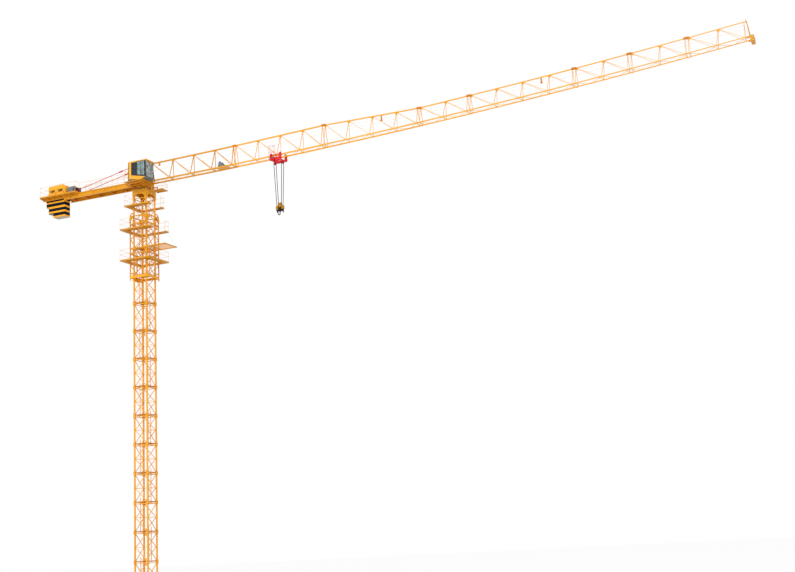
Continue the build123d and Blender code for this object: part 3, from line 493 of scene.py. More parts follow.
def glass_finish(name):
    """Tinted window glass, with patches of painted glare, a painted reflection, on the front, and dirt
    towards the lower edge.
    """
    material, graph, shader = blank_finish(name)
    where = graph.node("ShaderNodeTexCoord").outputs["Object"]
    film = graph.ramp(graph.noise(where, 26.0, 4.0), 0.35, 0.75)
    low = graph.ramp(graph.axes(where)[2], cab_low.z + 0.15, cab_low.z + 0.05)
    front = graph.math("GREATER_THAN", normal_axes(graph)[0], 0.7)
    # Painted glare: pale patches on the front pane, a painted reflection in the colour.
    painted_glare = graph.math("MULTIPLY", front, graph.ramp(graph.noise(where, 34.0, 2.0), 0.50, 0.62))
    colour = graph.mix(film, tint("glass"), tint("grey"))
    graph.put(shader.inputs["Base Color"], graph.mix(painted_glare, colour, tint("line")))
    dirt = graph.math("MULTIPLY", film, low)
    graph.put(shader.inputs["Roughness"], graph.math("MULTIPLY_ADD", dirt, 0.25, 0.03))
    shader.inputs["Transmission Weight"].default_value = 0.35
    shader.inputs["IOR"].default_value = 1.45
    return material


# Painted finishes: the colour, then how rough, worn, dusty and streaked each one is
painted_finishes = {
    "crane_paint": dict(paint="paint", rough=0.40, wear=0.14, dust=0.10, streaks=0.10),
    # Shaded girder paint: the orange darkened as painted shade.
    "girder_paint": dict(paint="girder", rough=0.42, wear=0.2, dust=0.12, streaks=0.2, gloss=0.25),
    # Shaded joint paint: a darker orange that stands in for shade at joints and under decks.
    "joint_paint": dict(paint="joint", rough=0.45, wear=0.04, dust=0.05, streaks=0.08, gloss=0.25),
    # Deck grating: painted shade darkens its holes.
    "deck_grating": dict(paint=grating_paint_with_shaded_holes, rough=0.55, wear=0.12, dust=0.2, streaks=0.1,
                         relief=grating_relief, depth=0.0008),
    "red_paint": dict(paint="red", rough=0.34, wear=0.2, dust=0.06, streaks=0.1),
    "basket_paint": dict(paint="basket", rough=0.4, wear=0.3, dust=0.1, streaks=0.1),
    "grey_paint": dict(paint="grey", rough=0.42, wear=0.35, dust=0.2),
    "winch_paint": dict(paint=winch_panels, rough=0.42, wear=0.3, dust=0.2),
    "dark_steel": dict(paint="steel", rough=0.45, wear=0.7, dust=0.12, streaks=0.15),
    "black_steel": dict(paint="black", rough=0.55, wear=0.10, dust=0.03, streaks=0.05, gloss=0.2),
    "weight_paint": dict(paint=slab_bands, rough=0.7, wear=0.10, dust=0.08, streaks=0.08,
                         relief=concrete_relief, depth=0.0006, gloss=0.1),
    "cab_paint": dict(paint=cab_panels, rough=0.28, wear=0.15, dust=0.12, streaks=0.12),
    "block_paint": dict(paint=block_panels, rough=0.45, wear=0.15, dust=0.1, streaks=0.2, gloss=0.2),
}
rope_finishes = {"wire_rope": dict(colour="rope", shine=0.0), "pale_rope": dict(colour="line", shine=0.1)}


def finish(name):
    """One of the crane's materials, made when first asked for."""
    full_name = finish_prefix + name
    known = bpy.data.materials.get(full_name)
    if known:
        return known
    if name == "cab_glass":
        return glass_finish(full_name)
    if name in rope_finishes:
        return rope_finish(full_name, **rope_finishes[name])
    return painted(full_name, **painted_finishes[name])


class Shape:
    """Mesh put together from bars, tubes, plates and turned pieces, each in the current finish."""

    def __init__(self, *finishes):
        self.finishes = finishes
        self.current = 0
        self.mesh = bmesh.new()

    def use(self, name):
        """Following pieces take this finish."""
        self.current = self.finishes.index(name)
        return self

    def loft(self, rings, smooth=False):
        """Skin through rings of points, capped at both ends."""
        made = [[self.mesh.verts.new(point) for point in ring] for ring in rings]
        faces = []
        count = len(made[0])
        for near, far in zip(made, made[1:]):
            for index in range(count):
                after = (index + 1) % count
                faces.append(self.mesh.faces.new((near[index], near[after], far[after], far[index])))
        for face in faces:
            face.smooth = smooth
        faces.append(self.mesh.faces.new(list(reversed(made[0]))))
        faces.append(self.mesh.faces.new(made[-1]))
        for face in faces:
            face.material_index = self.current

    def bar(self, start, end, width, depth=None):
        """Straight rectangular bar; width is level and depth is across it, the same if not given."""
        start = Vector(start)
        end = Vector(end)
        along = (end - start).normalized()
        level = Vector((0, 0, 1)).cross(along)
        level = level.normalized() if level.length > 1e-6 else Vector((1, 0, 0))
        cross = along.cross(level)
        wide = level * width / 2
        deep = cross * (depth or width) / 2
        ring = [wide + deep, -wide + deep, -wide - deep, wide - deep]
        self.loft([[start + corner for corner in ring], [end + corner for corner in ring]])

    def beam_x(self, x0, x1, y, z, width, depth=None):
        """Bar along X."""
        self.bar((x0, y, z), (x1, y, z), width, depth)

    def beam_y(self, x, y0, y1, z, width, depth=None):
        """Bar along Y."""
        self.bar((x, y0, z), (x, y1, z), width, depth)

    def post(self, x, y, z0, z1, width, depth=None):
        """Upright bar, its width along X and its depth along Y."""
        self.bar((x, y, z0), (x, y, z1), width, depth)

    def box(self, low, high):
        """Box between two corners."""
        x0, y0, z0 = low
        x1, y1, z1 = high
        self.loft([[(x0, y0, z), (x1, y0, z), (x1, y1, z), (x0, y1, z)] for z in (z0, z1)])

    def tube(self, points, radius, sides=8):
        """Round bar through points; radius is one number or one for each point."""
        points = [Vector(point) for point in points]
        radii = radius if isinstance(radius, (list, tuple)) else [radius] * len(points)
        rings = []
        side = None
        for index, point in enumerate(points):
            ahead = points[min(index + 1, len(points) - 1)] - point
            behind = point - points[max(index - 1, 0)]
            along = (ahead.normalized() + behind.normalized()).normalized()
            if side is None:
                side = along.orthogonal()
            side = (side - along * side.dot(along)).normalized()
            other = along.cross(side)
            turns = [2 * pi * step / sides for step in range(sides)]
            rings.append([point + (side * cos(a) + other * sin(a)) * radii[index] for a in turns])
        self.loft(rings, smooth=sides > 6)

    def turned(self, center, axis, profile, sides=20):
        """Piece turned on a lathe: (radius, distance along the axis) pairs, both ends closed."""
        center = Vector(center)
        along = Vector(axis).normalized()
        side = along.orthogonal().normalized()
        other = along.cross(side)
        turns = [2 * pi * step / sides for step in range(sides)]
        rings = [[center + along * away + (side * cos(a) + other * sin(a)) * radius for a in turns]
                 for radius, away in profile]
        self.loft(rings)

    def plate(self, outline, offset):
        """Flat plate from an outline of points, thickened by an offset."""
        offset = Vector(offset)
        self.loft([[Vector(point) for point in outline], [Vector(point) + offset for point in outline]])

    def done(self, name, body, slot, bevel=0.0):
        """Closes the mesh as a piece, which rides on the body if one is given."""
        bmesh.ops.recalc_face_normals(self.mesh, faces=self.mesh.faces)
        data = bpy.data.meshes.new(name)
        self.mesh.to_mesh(data)
        self.mesh.free()
        for item in self.finishes:
            data.materials.append(finish(item))
        piece = bpy.data.objects.new(name, data)
        bpy.context.scene.collection.objects.link(piece)
        if bevel:
            edges = piece.modifiers.new("Edges", "BEVEL")
            edges.width = bevel
            edges.segments = 2
            edges.limit_method = "ANGLE"
            settle(piece)
        if body:
            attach(piece, body)
        return piece


def settle(piece):
    """Turns a piece with modifiers into a plain mesh."""
    evaluated = piece.evaluated_get(bpy.context.evaluated_depsgraph_get())
    data = bpy.data.meshes.new_from_object(evaluated)
    piece.modifiers.clear()
    piece.data = data


def nodes_tree(name, inputs):
    """New geometry tree with a mesh, named inputs and a material; gives its graph and its input sockets."""
    tree = bpy.data.node_groups.new(name, "GeometryNodeTree")
    mesh = ("Geometry", "Geometry")
    group_sockets(tree, [(*mesh, None), *inputs, ("Material", "Material", None)], [mesh])
    graph = Graph(tree)
    return graph, graph.node("NodeGroupInput").outputs


def joined(graph, parts):
    """Several geometries as one."""
    whole = graph.node("GeometryNodeJoinGeometry")
    for part in parts:
        graph.tree.links.new(part, whole.inputs[0])
    return whole.outputs[0]


def close_tree(graph, parts, material):
    """Ends a geometry tree: joins the parts, realizes them and sets their material."""
    real = graph.first("GeometryNodeRealizeInstances", {0: joined(graph, parts)})
    done = graph.first("GeometryNodeSetMaterial", {"Geometry": real, "Material": material})
    graph.node("NodeGroupOutput", {0: done})
    return graph.tree


def moved(graph, geometry, **settings):
    """Geometry after a Transform node."""
    inputs = {key.capitalize(): value for key, value in settings.items()}
    return graph.first("GeometryNodeTransform", {"Geometry": geometry, **inputs})


def cylinder(graph, vertices, radius, depth):
    """Cylinder along Z."""
    return graph.first("GeometryNodeMeshCylinder", {"Vertices": vertices, "Radius": radius, "Depth": depth})


def circle(graph, resolution, radius):
    """Circle in the XY plane."""
    return graph.first("GeometryNodeCurvePrimitiveCircle", {"Resolution": resolution, "Radius": radius})


def on_points(graph, points, instance, **settings):
    """One instance on every point."""
    inputs = {key.capitalize(): value for key, value in settings.items()}
    return graph.first("GeometryNodeInstanceOnPoints", {"Points": points, "Instance": instance, **inputs})


def rail_tree(name):
    """Geometry tree: two rails and evenly spaced posts over each straight edge of a path."""
    graph, given = nodes_tree(name, [("Height", "Float", 0.11), ("Spacing", "Float", 0.12),
                                     ("Radius", "Float", 0.002)])
    height, radius = given["Height"], given["Radius"]
    curve = graph.first("GeometryNodeMeshToCurve", {0: given["Geometry"]})
    ring = circle(graph, 8, radius)
    parts = []
    for share in (1.0, 0.55):
        lift = graph.vector(z=graph.math("MULTIPLY", height, share))
        raised = graph.first("GeometryNodeSetPosition", {"Geometry": curve, "Offset": lift})
        parts.append(graph.first("GeometryNodeCurveToMesh", {0: raised, 1: ring, "Fill Caps": True}))
    spacing = {"Curve": curve, "Length": given["Spacing"]}
    spread = graph.first("GeometryNodeResampleCurve", spacing, mode="LENGTH")
    points = graph.first("GeometryNodeCurveToMesh", {0: spread})
    single = graph.first("GeometryNodeMergeByDistance", {"Geometry": points, "Distance": 0.004})
    half = graph.vector(z=graph.math("MULTIPLY", height, 0.5))
    post = moved(graph, cylinder(graph, 8, radius, height), translation=half)
    parts.append(on_points(graph, single, post))
    return close_tree(graph, parts, given["Material"])


def bolt_tree(name):
    """Geometry tree: a washer and a hexagon head on every point, along the point's own axis."""
    graph, given = nodes_tree(name, [("Radius", "Float", 0.003)])
    radius = given["Radius"]
    washer = cylinder(graph, 12, graph.math("MULTIPLY", radius, 1.25), graph.math("MULTIPLY", radius, 0.3))
    head = cylinder(graph, 6, radius, graph.math("MULTIPLY", radius, 0.8))
    raised = moved(graph, head, translation=graph.vector(z=graph.math("MULTIPLY", radius, 0.5)))
    axis = graph.first("GeometryNodeInputNamedAttribute", {"Name": "axis"}, data_type="FLOAT_VECTOR")
    turn = graph.first("FunctionNodeAlignRotationToVector", {"Vector": axis}, axis="Z")
    placed = on_points(graph, given["Geometry"], joined(graph, (washer, raised)), rotation=turn)
    return close_tree(graph, [placed], given["Material"])


def ladder_tree(name):
    """Geometry tree: a ladder up from every point, with round rungs between two flat rails."""
    graph, given = nodes_tree(name, [("Height", "Float", 1.0), ("Width", "Float", 0.04),
                                     ("Pitch", "Float", 0.028), ("Radius", "Float", 0.0012)])
    height, width, pitch, radius = (given[key] for key in ("Height", "Width", "Pitch", "Radius"))
    count = graph.math("FLOOR", graph.math("DIVIDE", height, pitch))
    step = graph.vector(z=pitch)
    line = graph.first("GeometryNodeMeshLine", {"Count": count, "Start Location": step, "Offset": step})
    rung = moved(graph, cylinder(graph, 6, radius, width), rotation=(pi / 2, 0, 0))
    parts = [on_points(graph, line, rung)]
    flat = graph.math("MULTIPLY", radius, 4.5)
    thin = graph.math("MULTIPLY", radius, 1.8)
    stile = graph.first("GeometryNodeMeshCube", {"Size": graph.vector(flat, thin, height)})
    for side in (-0.5, 0.5):
        shift = graph.vector(y=graph.math("MULTIPLY", width, side), z=graph.math("MULTIPLY", height, 0.5))
        parts.append(moved(graph, stile, translation=shift))
    placed = on_points(graph, given["Geometry"], joined(graph, parts))
    return close_tree(graph, [placed], given["Material"])


def winding_tree(name):
    """Geometry tree: rings side by side along Y, as rope turns on a drum or fins on a motor."""
    graph, given = nodes_tree(name, [("Drum Radius", "Float", 0.03), ("Ring Radius", "Float", 0.0012),
                                     ("Count", "Int", 20), ("Pitch", "Float", 0.0025)])
    count, pitch = given["Count"], given["Pitch"]
    path = circle(graph, 24, given["Drum Radius"])
    wire = circle(graph, 6, given["Ring Radius"])
    ring = graph.first("GeometryNodeCurveToMesh", {0: path, 1: wire})
    stood = moved(graph, ring, rotation=(pi / 2, 0, 0))
    reach = graph.math("MULTIPLY", graph.math("SUBTRACT", count, 1.0), pitch)
    start = graph.vector(y=graph.math("MULTIPLY", reach, -0.5))
    step = graph.vector(y=pitch)
    line = graph.first("GeometryNodeMeshLine", {"Count": count, "Start Location": start, "Offset": step})
    placed = on_points(graph, given["Geometry"], on_points(graph, line, stood))
    return close_tree(graph, [placed], given["Material"])


tree_builders = {"Handrail": rail_tree, "Bolt heads": bolt_tree, "Ladder": ladder_tree,
                 "Windings": winding_tree}


def grown(name, kind, body, slot, points, edges=(), axes=None, **values):
    """Piece that one kind of geometry tree grows on points or edges, made a plain mesh."""
    tree = bpy.data.node_groups.get(kind) or tree_builders[kind](kind)
    data = bpy.data.meshes.new(name)
    data.from_pydata([tuple(point) for point in points], list(edges), [])
    if axes:
        attribute = data.attributes.new("axis", "FLOAT_VECTOR", "POINT")
        for item, axis in zip(attribute.data, axes):
            item.vector = axis
    piece = bpy.data.objects.new(name, data)
    bpy.context.scene.collection.objects.link(piece)
    modifier = piece.modifiers.new("Growth", "NODES")
    modifier.node_group = tree
    for item in tree.interface.items_tree:
        key = item.name.lower().replace(" ", "_")
        if item.in_out == "INPUT" and key in values:
            modifier[item.identifier] = values[key]
    settle(piece)
    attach(piece, body)


def handrail(name, body, spans, height=None):
    """Handrail over straight spans, each from one point to another."""
    size = sizes()
    points = [point for span in spans for point in span]
    edges = [(2 * index, 2 * index + 1) for index in range(len(spans))]
    grown(name, "Handrail", body, "crane_paint", points, edges, height=height or size.rail_height,
          spacing=size.post_spacing, radius=size.rail_radius, material=finish("crane_paint"))


def toe_boards(name, body, spans):
    """Toe boards along the foot of a handrail's spans."""
    tall = sizes().toe_height
    boards = Shape("girder_paint")
    for span in spans:
        start, end = ((x, y, z + tall / 2) for x, y, z in span)
        boards.bar(start, end, toe_thickness, tall)
    boards.done(name, body, "crane_paint")


def bolts(name, places, slot, paint, radius):
    """Bolt heads on the mast at places, each a point and the way that its head faces."""
    points, axes = zip(*places)
    grown(name, "Bolt heads", "mast", slot, points, axes=axes, radius=radius, material=finish(paint))


def windings(name, center, paint, slot, **values):
    """Rope turns or fins on the upper works, round an axis along Y."""
    grown(name, "Windings", "upperworks", slot, [center], material=finish(paint), **values)


def camber(x):
    """Height of the bottom chords' centre line."""
    return camber_center - sqrt(camber_radius**2 - x**2)


def node_x(bay):
    """Distance of a bottom node from the mast's axis."""
    return jib_first_node + bay * jib_bay


def top_height(x):
    """Height of the top chord's centre line."""
    bay = (x - jib_first_node) / jib_bay
    for (first, low), (last, high) in zip(jib_heights, jib_heights[1:]):
        if bay <= last:
            return camber(x) + low + (high - low) * (bay - first) / (last - first)
    return camber(x) + jib_heights[-1][1]


def jib_level(x, share):
    """Height at a share of the way from the bottom chords to the top chord."""
    return camber(x) + share * (top_height(x) - camber(x))


def jib_lattice(shape, first, last, widths):
    """Bars of one jib section between two joints; the bottom chords keep their rail and outer faces."""
    wide, post, diagonal = widths
    shift = chord_half - wide / 2
    stations = [node_x(bay) for bay in range(first, last + 1)]
    near, far = stations[0] + post_inset, stations[-1] - post_inset
    tops = [near, *(x + top_offset for x in stations[1:-1]), far]
    feet = [near, *stations[1:-1], far]
    edge = gauge_half + shift
    for start, end in zip(stations, stations[1:]):
        shape.bar((start, 0, top_height(start)), (end, 0, top_height(end)), wide)
        for side in (-1, 1):
            y = side * edge
            shape.bar((start, y, camber(start) + shift), (end, y, camber(end) + shift), wide)
    for index, (high, low) in enumerate(zip(tops, feet)):
        crown = (high, 0, top_height(high))
        level = camber(low) + shift
        shape.beam_y(low, -edge, edge, level, post)
        for side in (-1, 1):
            shape.bar((low, side * edge, level), crown, post)
            if index + 1 < len(feet):
                ahead = feet[index + 1]
                shape.bar(crown, (ahead, side * edge, camber(ahead) + shift), diagonal)


def corners(x, y):
    """The four points mirrored about both axes."""
    return [(x, y), (-x, y), (-x, -y), (x, -y)]


def square_frame(shape, half, level, width, depth=None, stagger=0.0):
    """Four level bars round a square; the stagger shifts every other one, so that no faces coincide."""
    around = corners(half, half)
    for index, (start, end) in enumerate(zip(around, around[1:] + around[:1])):
        z = level + stagger * (index % 2)
        shape.bar((*start, z), (*end, z), width, depth)


def sheave(shape, center, rim, groove):
    """Grooved rope sheave with its hub, turning about Y."""
    half = [(groove, 0.0012), (rim, 0.0020), (rim, 0.0024), (0.0048, 0.0024), (0.0048, 0.0031),
            (0.0034, 0.0031)]
    profile = [(radius, -away) for radius, away in reversed(half)] + half
    shape.turned(center, (0, 1, 0), profile, 28)


class CRANE_OT_frame(Operator):
    """Puts weathered finishes on the frame's own nodes"""

    bl_idname = "crane.frame"
    bl_label = "Finish the frame"

    def execute(self, context):
        for name, nodes in frame_finishes.items():
            for node in nodes:
                for entry in frame["nodes"][node].material_slots:
                    entry.material = finish(name)
        return {"FINISHED"}


class CRANE_OT_mast_lattice(Operator):
    """Builds the mast's legs, sleeves, lacing and girts, and the thin bars between them"""

    bl_idname = "crane.mast_lattice"
    bl_label = "Build the mast's lattice"

    def execute(self, context):
        size = sizes()
        half_sleeve = 0.009
        face = leg_half - 0.006
        widths = (size.mast_lacing, size.mast_lacing, size.mast_girt)
        lattice = Shape("crane_paint")
        for base in mast_joints:
            top = min(base + section_pitch, mast_top)
            low, high = base + half_sleeve, top - half_sleeve
            for x, y in corners(leg_half, leg_half):
                lattice.post(x, y, base, top, size.mast_leg)
                for z in (low, high):
                    lattice.post(x, y, z - half_sleeve, z + half_sleeve, 2 * sleeve_half)
            zigzag = ((face, low), (-face, (base + top) / 2), (face, high), (-face, high))
            for c, s in ((1, 0), (0, 1), (-1, 0), (0, -1)):
                points = [(c * run + s * leg_half, s * run - c * leg_half, z) for run, z in zigzag]
                for start, end, width in zip(points, points[1:], widths):
                    lattice.bar(start, end, width)
        replaced = [name for name in frame["nodes"] if name.startswith("mast_section_")]
        piece = lattice.done("mast_slim_sections", "mast", "crane_paint")
        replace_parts(piece, *replaced, "mast_head_section")
        bars = Shape("crane_paint", "joint_paint")
        for base in mast_joints:
            middle = base + min(section_pitch, mast_top - base) / 2
            square_frame(bars.use("crane_paint"), leg_half, middle, 0.0032)
            if base < mast_joints[-1]:
                # Girts at each joint in the darker joint paint, painted shade below the landings.
                square_frame(bars.use("joint_paint"), leg_half, base + half_sleeve, 0.004, 0.006)
        bars.done("mast_mid_bars", "mast", "crane_paint")
        return {"FINISHED"}


class CRANE_OT_mast_access(Operator):
    """Builds the landings inside the mast and the ladders between them"""

    bl_idname = "crane.mast_access"
    bl_label = "Build ladders and landings"

    def execute(self, context):
        size = sizes()
        half = 0.060
        hatch = 0.024
        sheet = 0.002
        rise = 0.006
        ladder_x = 0.047
        ladder_overlap = 0.05
        outline = [(half, -half), (half, half), (-half, half), (-half, hatch), (-hatch, hatch),
                   (-hatch, -hatch), (-half, -hatch), (-half, -half)]
        landings = Shape("deck_grating", "joint_paint")
        ladders = {"rear": [], "front": []}
        for index, base in enumerate(mast_joints[:-1]):
            side = 1 if index % 2 else -1
            ladders["front" if side > 0 else "rear"].append((side * ladder_x, 0, base))
            level = base + rise
            landings.use("deck_grating")
            landings.plate([(side * x, y, level) for x, y in outline], (0, 0, sheet))
            landings.use("joint_paint")
            for x in (-0.055, 0.020, 0.055):
                landings.beam_y(x, -0.070, 0.070, level - sheet, 2 * sheet)
        landings.done("mast_landings", "mast", "crane_paint")
        for place, points in ladders.items():
            grown(f"mast_ladder_{place}", "Ladder", "mast", "crane_paint", points,
                  height=section_pitch + ladder_overlap, width=size.ladder_width, pitch=size.rung_pitch,
                  radius=0.0013, material=finish("crane_paint"))
        return {"FINISHED"}


class CRANE_OT_mast_bolts(Operator):
    """Sets the mast's joint bolts, the slewing ring's grease points and the anchor bolts"""

    bl_idname = "crane.mast_bolts"
    bl_label = "Set the mast's bolts"

    def execute(self, context):
        size = sizes()
        face = leg_half + sleeve_half
        bolt_rise = 0.010
        places = []
        for joint in mast_joints[1:]:
            for way_x, way_y in corners(1, 1):
                for level in (joint - bolt_rise, joint + bolt_rise):
                    places.append(((way_x * leg_half, way_y * face, level), (0, way_y, 0)))
                    places.append(((way_x * face, way_y * leg_half, level), (way_x, 0, 0)))
        bolts("mast_joint_bolts", places, "crane_paint", "joint_paint", size.bolt_radius)
        ring_low, ring_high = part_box("slewing_ring")
        middle = (ring_low.z + ring_high.z) / 2
        rim = []
        for index in range(size.grease_points):
            turn = 2 * pi * index / size.grease_points
            way = (cos(turn), sin(turn), 0)
            rim.append(((ring_high.x * way[0], ring_high.x * way[1], middle), way))
        bolts("ring_grease_points", rim, "dark_steel", "dark_steel", 0.0018)
        anchors = []
        for across in (leg_half - anchor_reach, leg_half + anchor_reach):
            for along in (leg_half - anchor_reach, leg_half + anchor_reach):
                anchors += [((x, y, foot_plate), (0, 0, 1)) for x, y in corners(across, along)]
        bolts("anchor_bolts", anchors, "dark_steel", "dark_steel", 0.0040)
        return {"FINISHED"}


class CRANE_OT_platforms(Operator):
    """Builds handrails and toe boards on the three ring platforms"""

    bl_idname = "crane.platforms"
    bl_label = "Rail the ring platforms"

    def execute(self, context):
        spans = []
        half_gaps = {"upper_platform": 0.083, "middle_platform": 0.1065, "lower_platform": 0.0}
        for node, gap in half_gaps.items():
            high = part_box(node)[1]
            half = high.x - rail_inset
            around = corners(half, half)
            runs = list(zip(around, around[1:]))
            if gap:
                runs += [((half, half), (half, gap)), ((half, -half), (half, -gap))]
            else:
                runs.append((around[-1], around[0]))
            spans += [((*start, high.z), (*end, high.z)) for start, end in runs]
        handrail("platform_rails", "mast", spans)
        toe_boards("platform_toe_boards", "mast", spans)
        return {"FINISHED"}


class CRANE_OT_slewing_support(Operator):
    """Builds the arched box that carries the slewing ring"""

    bl_idname = "crane.slewing_support"
    bl_label = "Build the slewing support"

    def execute(self, context):
        low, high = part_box("lower_slewing_support")
        thick = 0.007
        half_span = 0.058
        rise = 0.036
        steps = 16
        turns = [pi * step / steps for step in range(steps + 1)]
        arch = [(-half_span * cos(turn), low.z + rise * sin(turn)) for turn in turns]
        outline = [(low.x, low.z), *arch, (high.x, low.z), (high.x, high.z), (low.x, high.z)]
        inner = high.x - thick
        trimmed = [(max(-inner, min(inner, along)), z) for along, z in outline]
        support = Shape("girder_paint")
        for side in (-1, 1):
            near = side * inner
            support.plate([(x, near, z) for x, z in outline], (0, side * thick, 0))
            support.plate([(near, y, z) for y, z in trimmed], (side * thick, 0, 0))
        ring_level = high.z - 0.006
        for x, y in corners(leg_half, leg_half):
            support.post(x, y, low.z, ring_level, 0.016)
        square_frame(support, leg_half - 0.006, ring_level, 0.026, 0.010, stagger=-0.001)
        piece = support.done("slewing_support_arches", "mast", "crane_paint")
        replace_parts(piece, "lower_slewing_support")
        return {"FINISHED"}


class CRANE_OT_guide_platform(Operator):
    """Builds the slatted platform that sections are guided in on, with its tie wires"""

    bl_idname = "crane.guide_platform"
    bl_label = "Build the guide platform"

    def execute(self, context):
        low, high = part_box("guide_platform")
        top = high.z
        slatted = 0.1875
        slat_pitch = 0.030
        rail_y = 0.0915
        start = high.x - slatted
        edge = high.y - 0.003
        slats = Shape("girder_paint")
        for side in (-1, 1):
            slats.beam_x(low.x, high.x, side * rail_y, top - 0.006, 0.008, 0.012)
            slats.beam_x(start, high.x, side * edge, top - 0.004, 0.005, 0.008)
        for place in (-2, -1, 0, 1, 2):
            slats.beam_x(start, high.x, place * slat_pitch, top - 0.002, 0.0085, 0.004)
        for x in (start + 0.004, high.x - 0.004):
            slats.beam_y(x, low.y, high.y, top - 0.0065, 0.008, 0.011)
        piece = slats.done("guide_platform_slats", "mast", "crane_paint")
        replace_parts(piece, "guide_platform")
        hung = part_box("middle_platform")[1]
        eye_inset = 0.006
        eye_y = 0.150
        wires = Shape("wire_rope")
        for side in (-1, 1):
            head = (hung.x - eye_inset, side * eye_y, hung.z - 0.004)
            foot = (high.x - eye_inset, side * (high.y - 0.004), top)
            wires.tube([head, foot], sizes().line_radius, 6)
        wires.done("guide_tie_wires", "mast", "dark_steel")
        return {"FINISHED"}


class CRANE_OT_cage(Operator):
    """Builds the climbing cage's foot ring and the bows from its corners to the mast's legs"""

    bl_idname = "crane.cage"
    bl_label = "Fit out the climbing cage"

    def execute(self, context):
        low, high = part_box("climbing_cage")
        ring = Shape("crane_paint")
        square_frame(ring, high.x - 0.0045, low.z + 0.032, 0.010, 0.022, stagger=0.0005)
        ring.done("cage_foot_ring", "mast", "crane_paint")
        outer = high.x - 0.005
        foot = high.z - 0.004
        rise = 0.036
        radius = 0.0055
        steps = 8
        turns = [pi / 2 * step / steps for step in range(steps + 1)]
        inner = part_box("mast_head_section")[1].x - radius
        bows = Shape("girder_paint")
        for way_x, way_y in corners(1, 1):
            bow = []
            for turn in turns:
                away = inner + (outer - inner) * cos(turn)
                bow.append((way_x * away, way_y * away, foot + rise * sin(turn)))
            bows.tube(bow, radius, 8)
        bows.done("cage_shoulder_bows", "mast", "crane_paint")
        return {"FINISHED"}


class CRANE_OT_jib_lattice(Operator):
    """Builds jib sections 2 to 8 with members that get slimmer, and the bracing between the chords"""

    bl_idname = "crane.jib_lattice"
    bl_label = "Build the jib's lattice"

    def execute(self, context):
        joint = section_bays[0]
        lattice = Shape("crane_paint")
        for bays, widths in zip(section_bays[1:], member_widths):
            jib_lattice(lattice, joint, joint + bays, widths)
            joint += bays
        replaced = [f"jib_section_{number}" for number in range(2, len(section_bays) + 1)]
        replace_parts(lattice.done("jib_slim_sections", "upperworks", "crane_paint"), *replaced)
        brace = 0.0022
        bracing = Shape("crane_paint")
        for half_bay in range(2 * jib_bays):
            start, end = node_x(half_bay / 2), node_x((half_bay + 1) / 2)
            side = gauge_half if half_bay % 2 else -gauge_half
            bracing.bar((start, side, camber(start)), (end, -side, camber(end)), brace)
        bracing.done("jib_plan_bracing", "upperworks", "crane_paint")
        return {"FINISHED"}


class CRANE_OT_jib_ropes(Operator):
    """Builds the jib's lifeline, its rope runs and the guides that hang from the top chord"""

    bl_idname = "crane.jib_ropes"
    bl_label = "Rope the jib"

    def execute(self, context):
        stations = [node_x(bay) for bay in range(jib_bays + 1)]
        line_share = 0.82
        bar_half = 0.011
        line = Shape("pale_rope", "crane_paint")
        along = [node_x(0.3), *stations[1:-1], stations[-1] - 0.02]
        path = [(x, 0, jib_level(x, line_share)) for x in along]
        line.tube(path, sizes().line_radius, 6)
        line.use("crane_paint")
        for x, _, z in path[::2]:
            line.tube([(x, -bar_half, z), (x, bar_half, z)], 0.0012, 6)
        line.done("jib_lifeline", "upperworks", "dark_steel")
        run_radius = 0.0005
        lower_start = 0.12
        lower_rise = 0.012
        ropes = Shape("pale_rope")
        upper_run = [(x, lead_y, jib_level(x, lead_share)) for x in [lead_x, *stations[1:]]]
        ropes.tube(upper_run, run_radius, 6)
        for y in (-0.020, 0.020):
            lower_run = [(x, y, camber(x) + lower_rise) for x in [lower_start, *stations[1:]]]
            ropes.tube(lower_run, run_radius, 6)
        ropes.done("jib_ropes", "upperworks", "dark_steel")
        guide_drops = {0.189: 0.023, 2.682: 0.045, 4.255: 0.045}
        guides = Shape("joint_paint")
        for x, drop in guide_drops.items():
            top = top_height(x) - chord_half
            guides.post(x, 0, top + 0.001, top - drop, 0.012, 0.007)
            guides.beam_x(x - 0.010, x + 0.010, 0, top - drop, 0.014, 0.008)
        guides.done("jib_rope_guides", "upperworks", "crane_paint")
        return {"FINISHED"}


class CRANE_OT_jib_joints(Operator):
    """Builds the pins and plates at the jib's joints and the gussets along its top chord"""

    bl_idname = "crane.jib_joints"
    bl_label = "Join the jib's sections"

    def execute(self, context):
        head, shank = 0.0042, 0.0022
        low_pin = [(head, -0.001), (head, 0.002), (shank, 0.002), (shank, 0.0038)]
        top_pin = [(shank, 0), (shank, 0.0018), (head, 0.0018), (head, 0.0182), (shank, 0.0182),
                   (shank, 0.020)]
        plate_shape = [(-0.026, -0.006), (0.026, -0.006), (0.026, 0.005), (0.014, 0.010),
                       (-0.014, 0.010), (-0.026, 0.005)]
        gusset_shape = [(-0.020, 0.001), (0.020, 0.001), (0.008, -0.016), (-0.008, -0.016)]
        pins = Shape("joint_paint")
        plates = Shape("joint_paint", "crane_paint")
        for x in jib_joints:
            top = top_height(x)
            for side in (-1, 1):
                outer = side * (gauge_half + chord_half)
                pins.turned((x, outer, camber(x)), (0, side, 0), low_pin, 10)
                y = side * (chord_half + 0.0012)
                plates.plate([(x + run, y, top + rise) for run, rise in plate_shape], (0, side * 0.0022, 0))
            pins.turned((x, -chord_half - 0.0035, top), (0, 1, 0), top_pin, 10)
        pins.done("jib_joint_pins", "upperworks", "crane_paint")
        plates.use("crane_paint")
        for bay in range(jib_bays):
            x = node_x(bay) + top_offset
            under = top_height(x) - chord_half
            plates.plate([(x + run, -0.001, under + rise) for run, rise in gusset_shape], (0, 0.002, 0))
        plates.done("jib_joint_plates", "upperworks", "crane_paint")
        return {"FINISHED"}


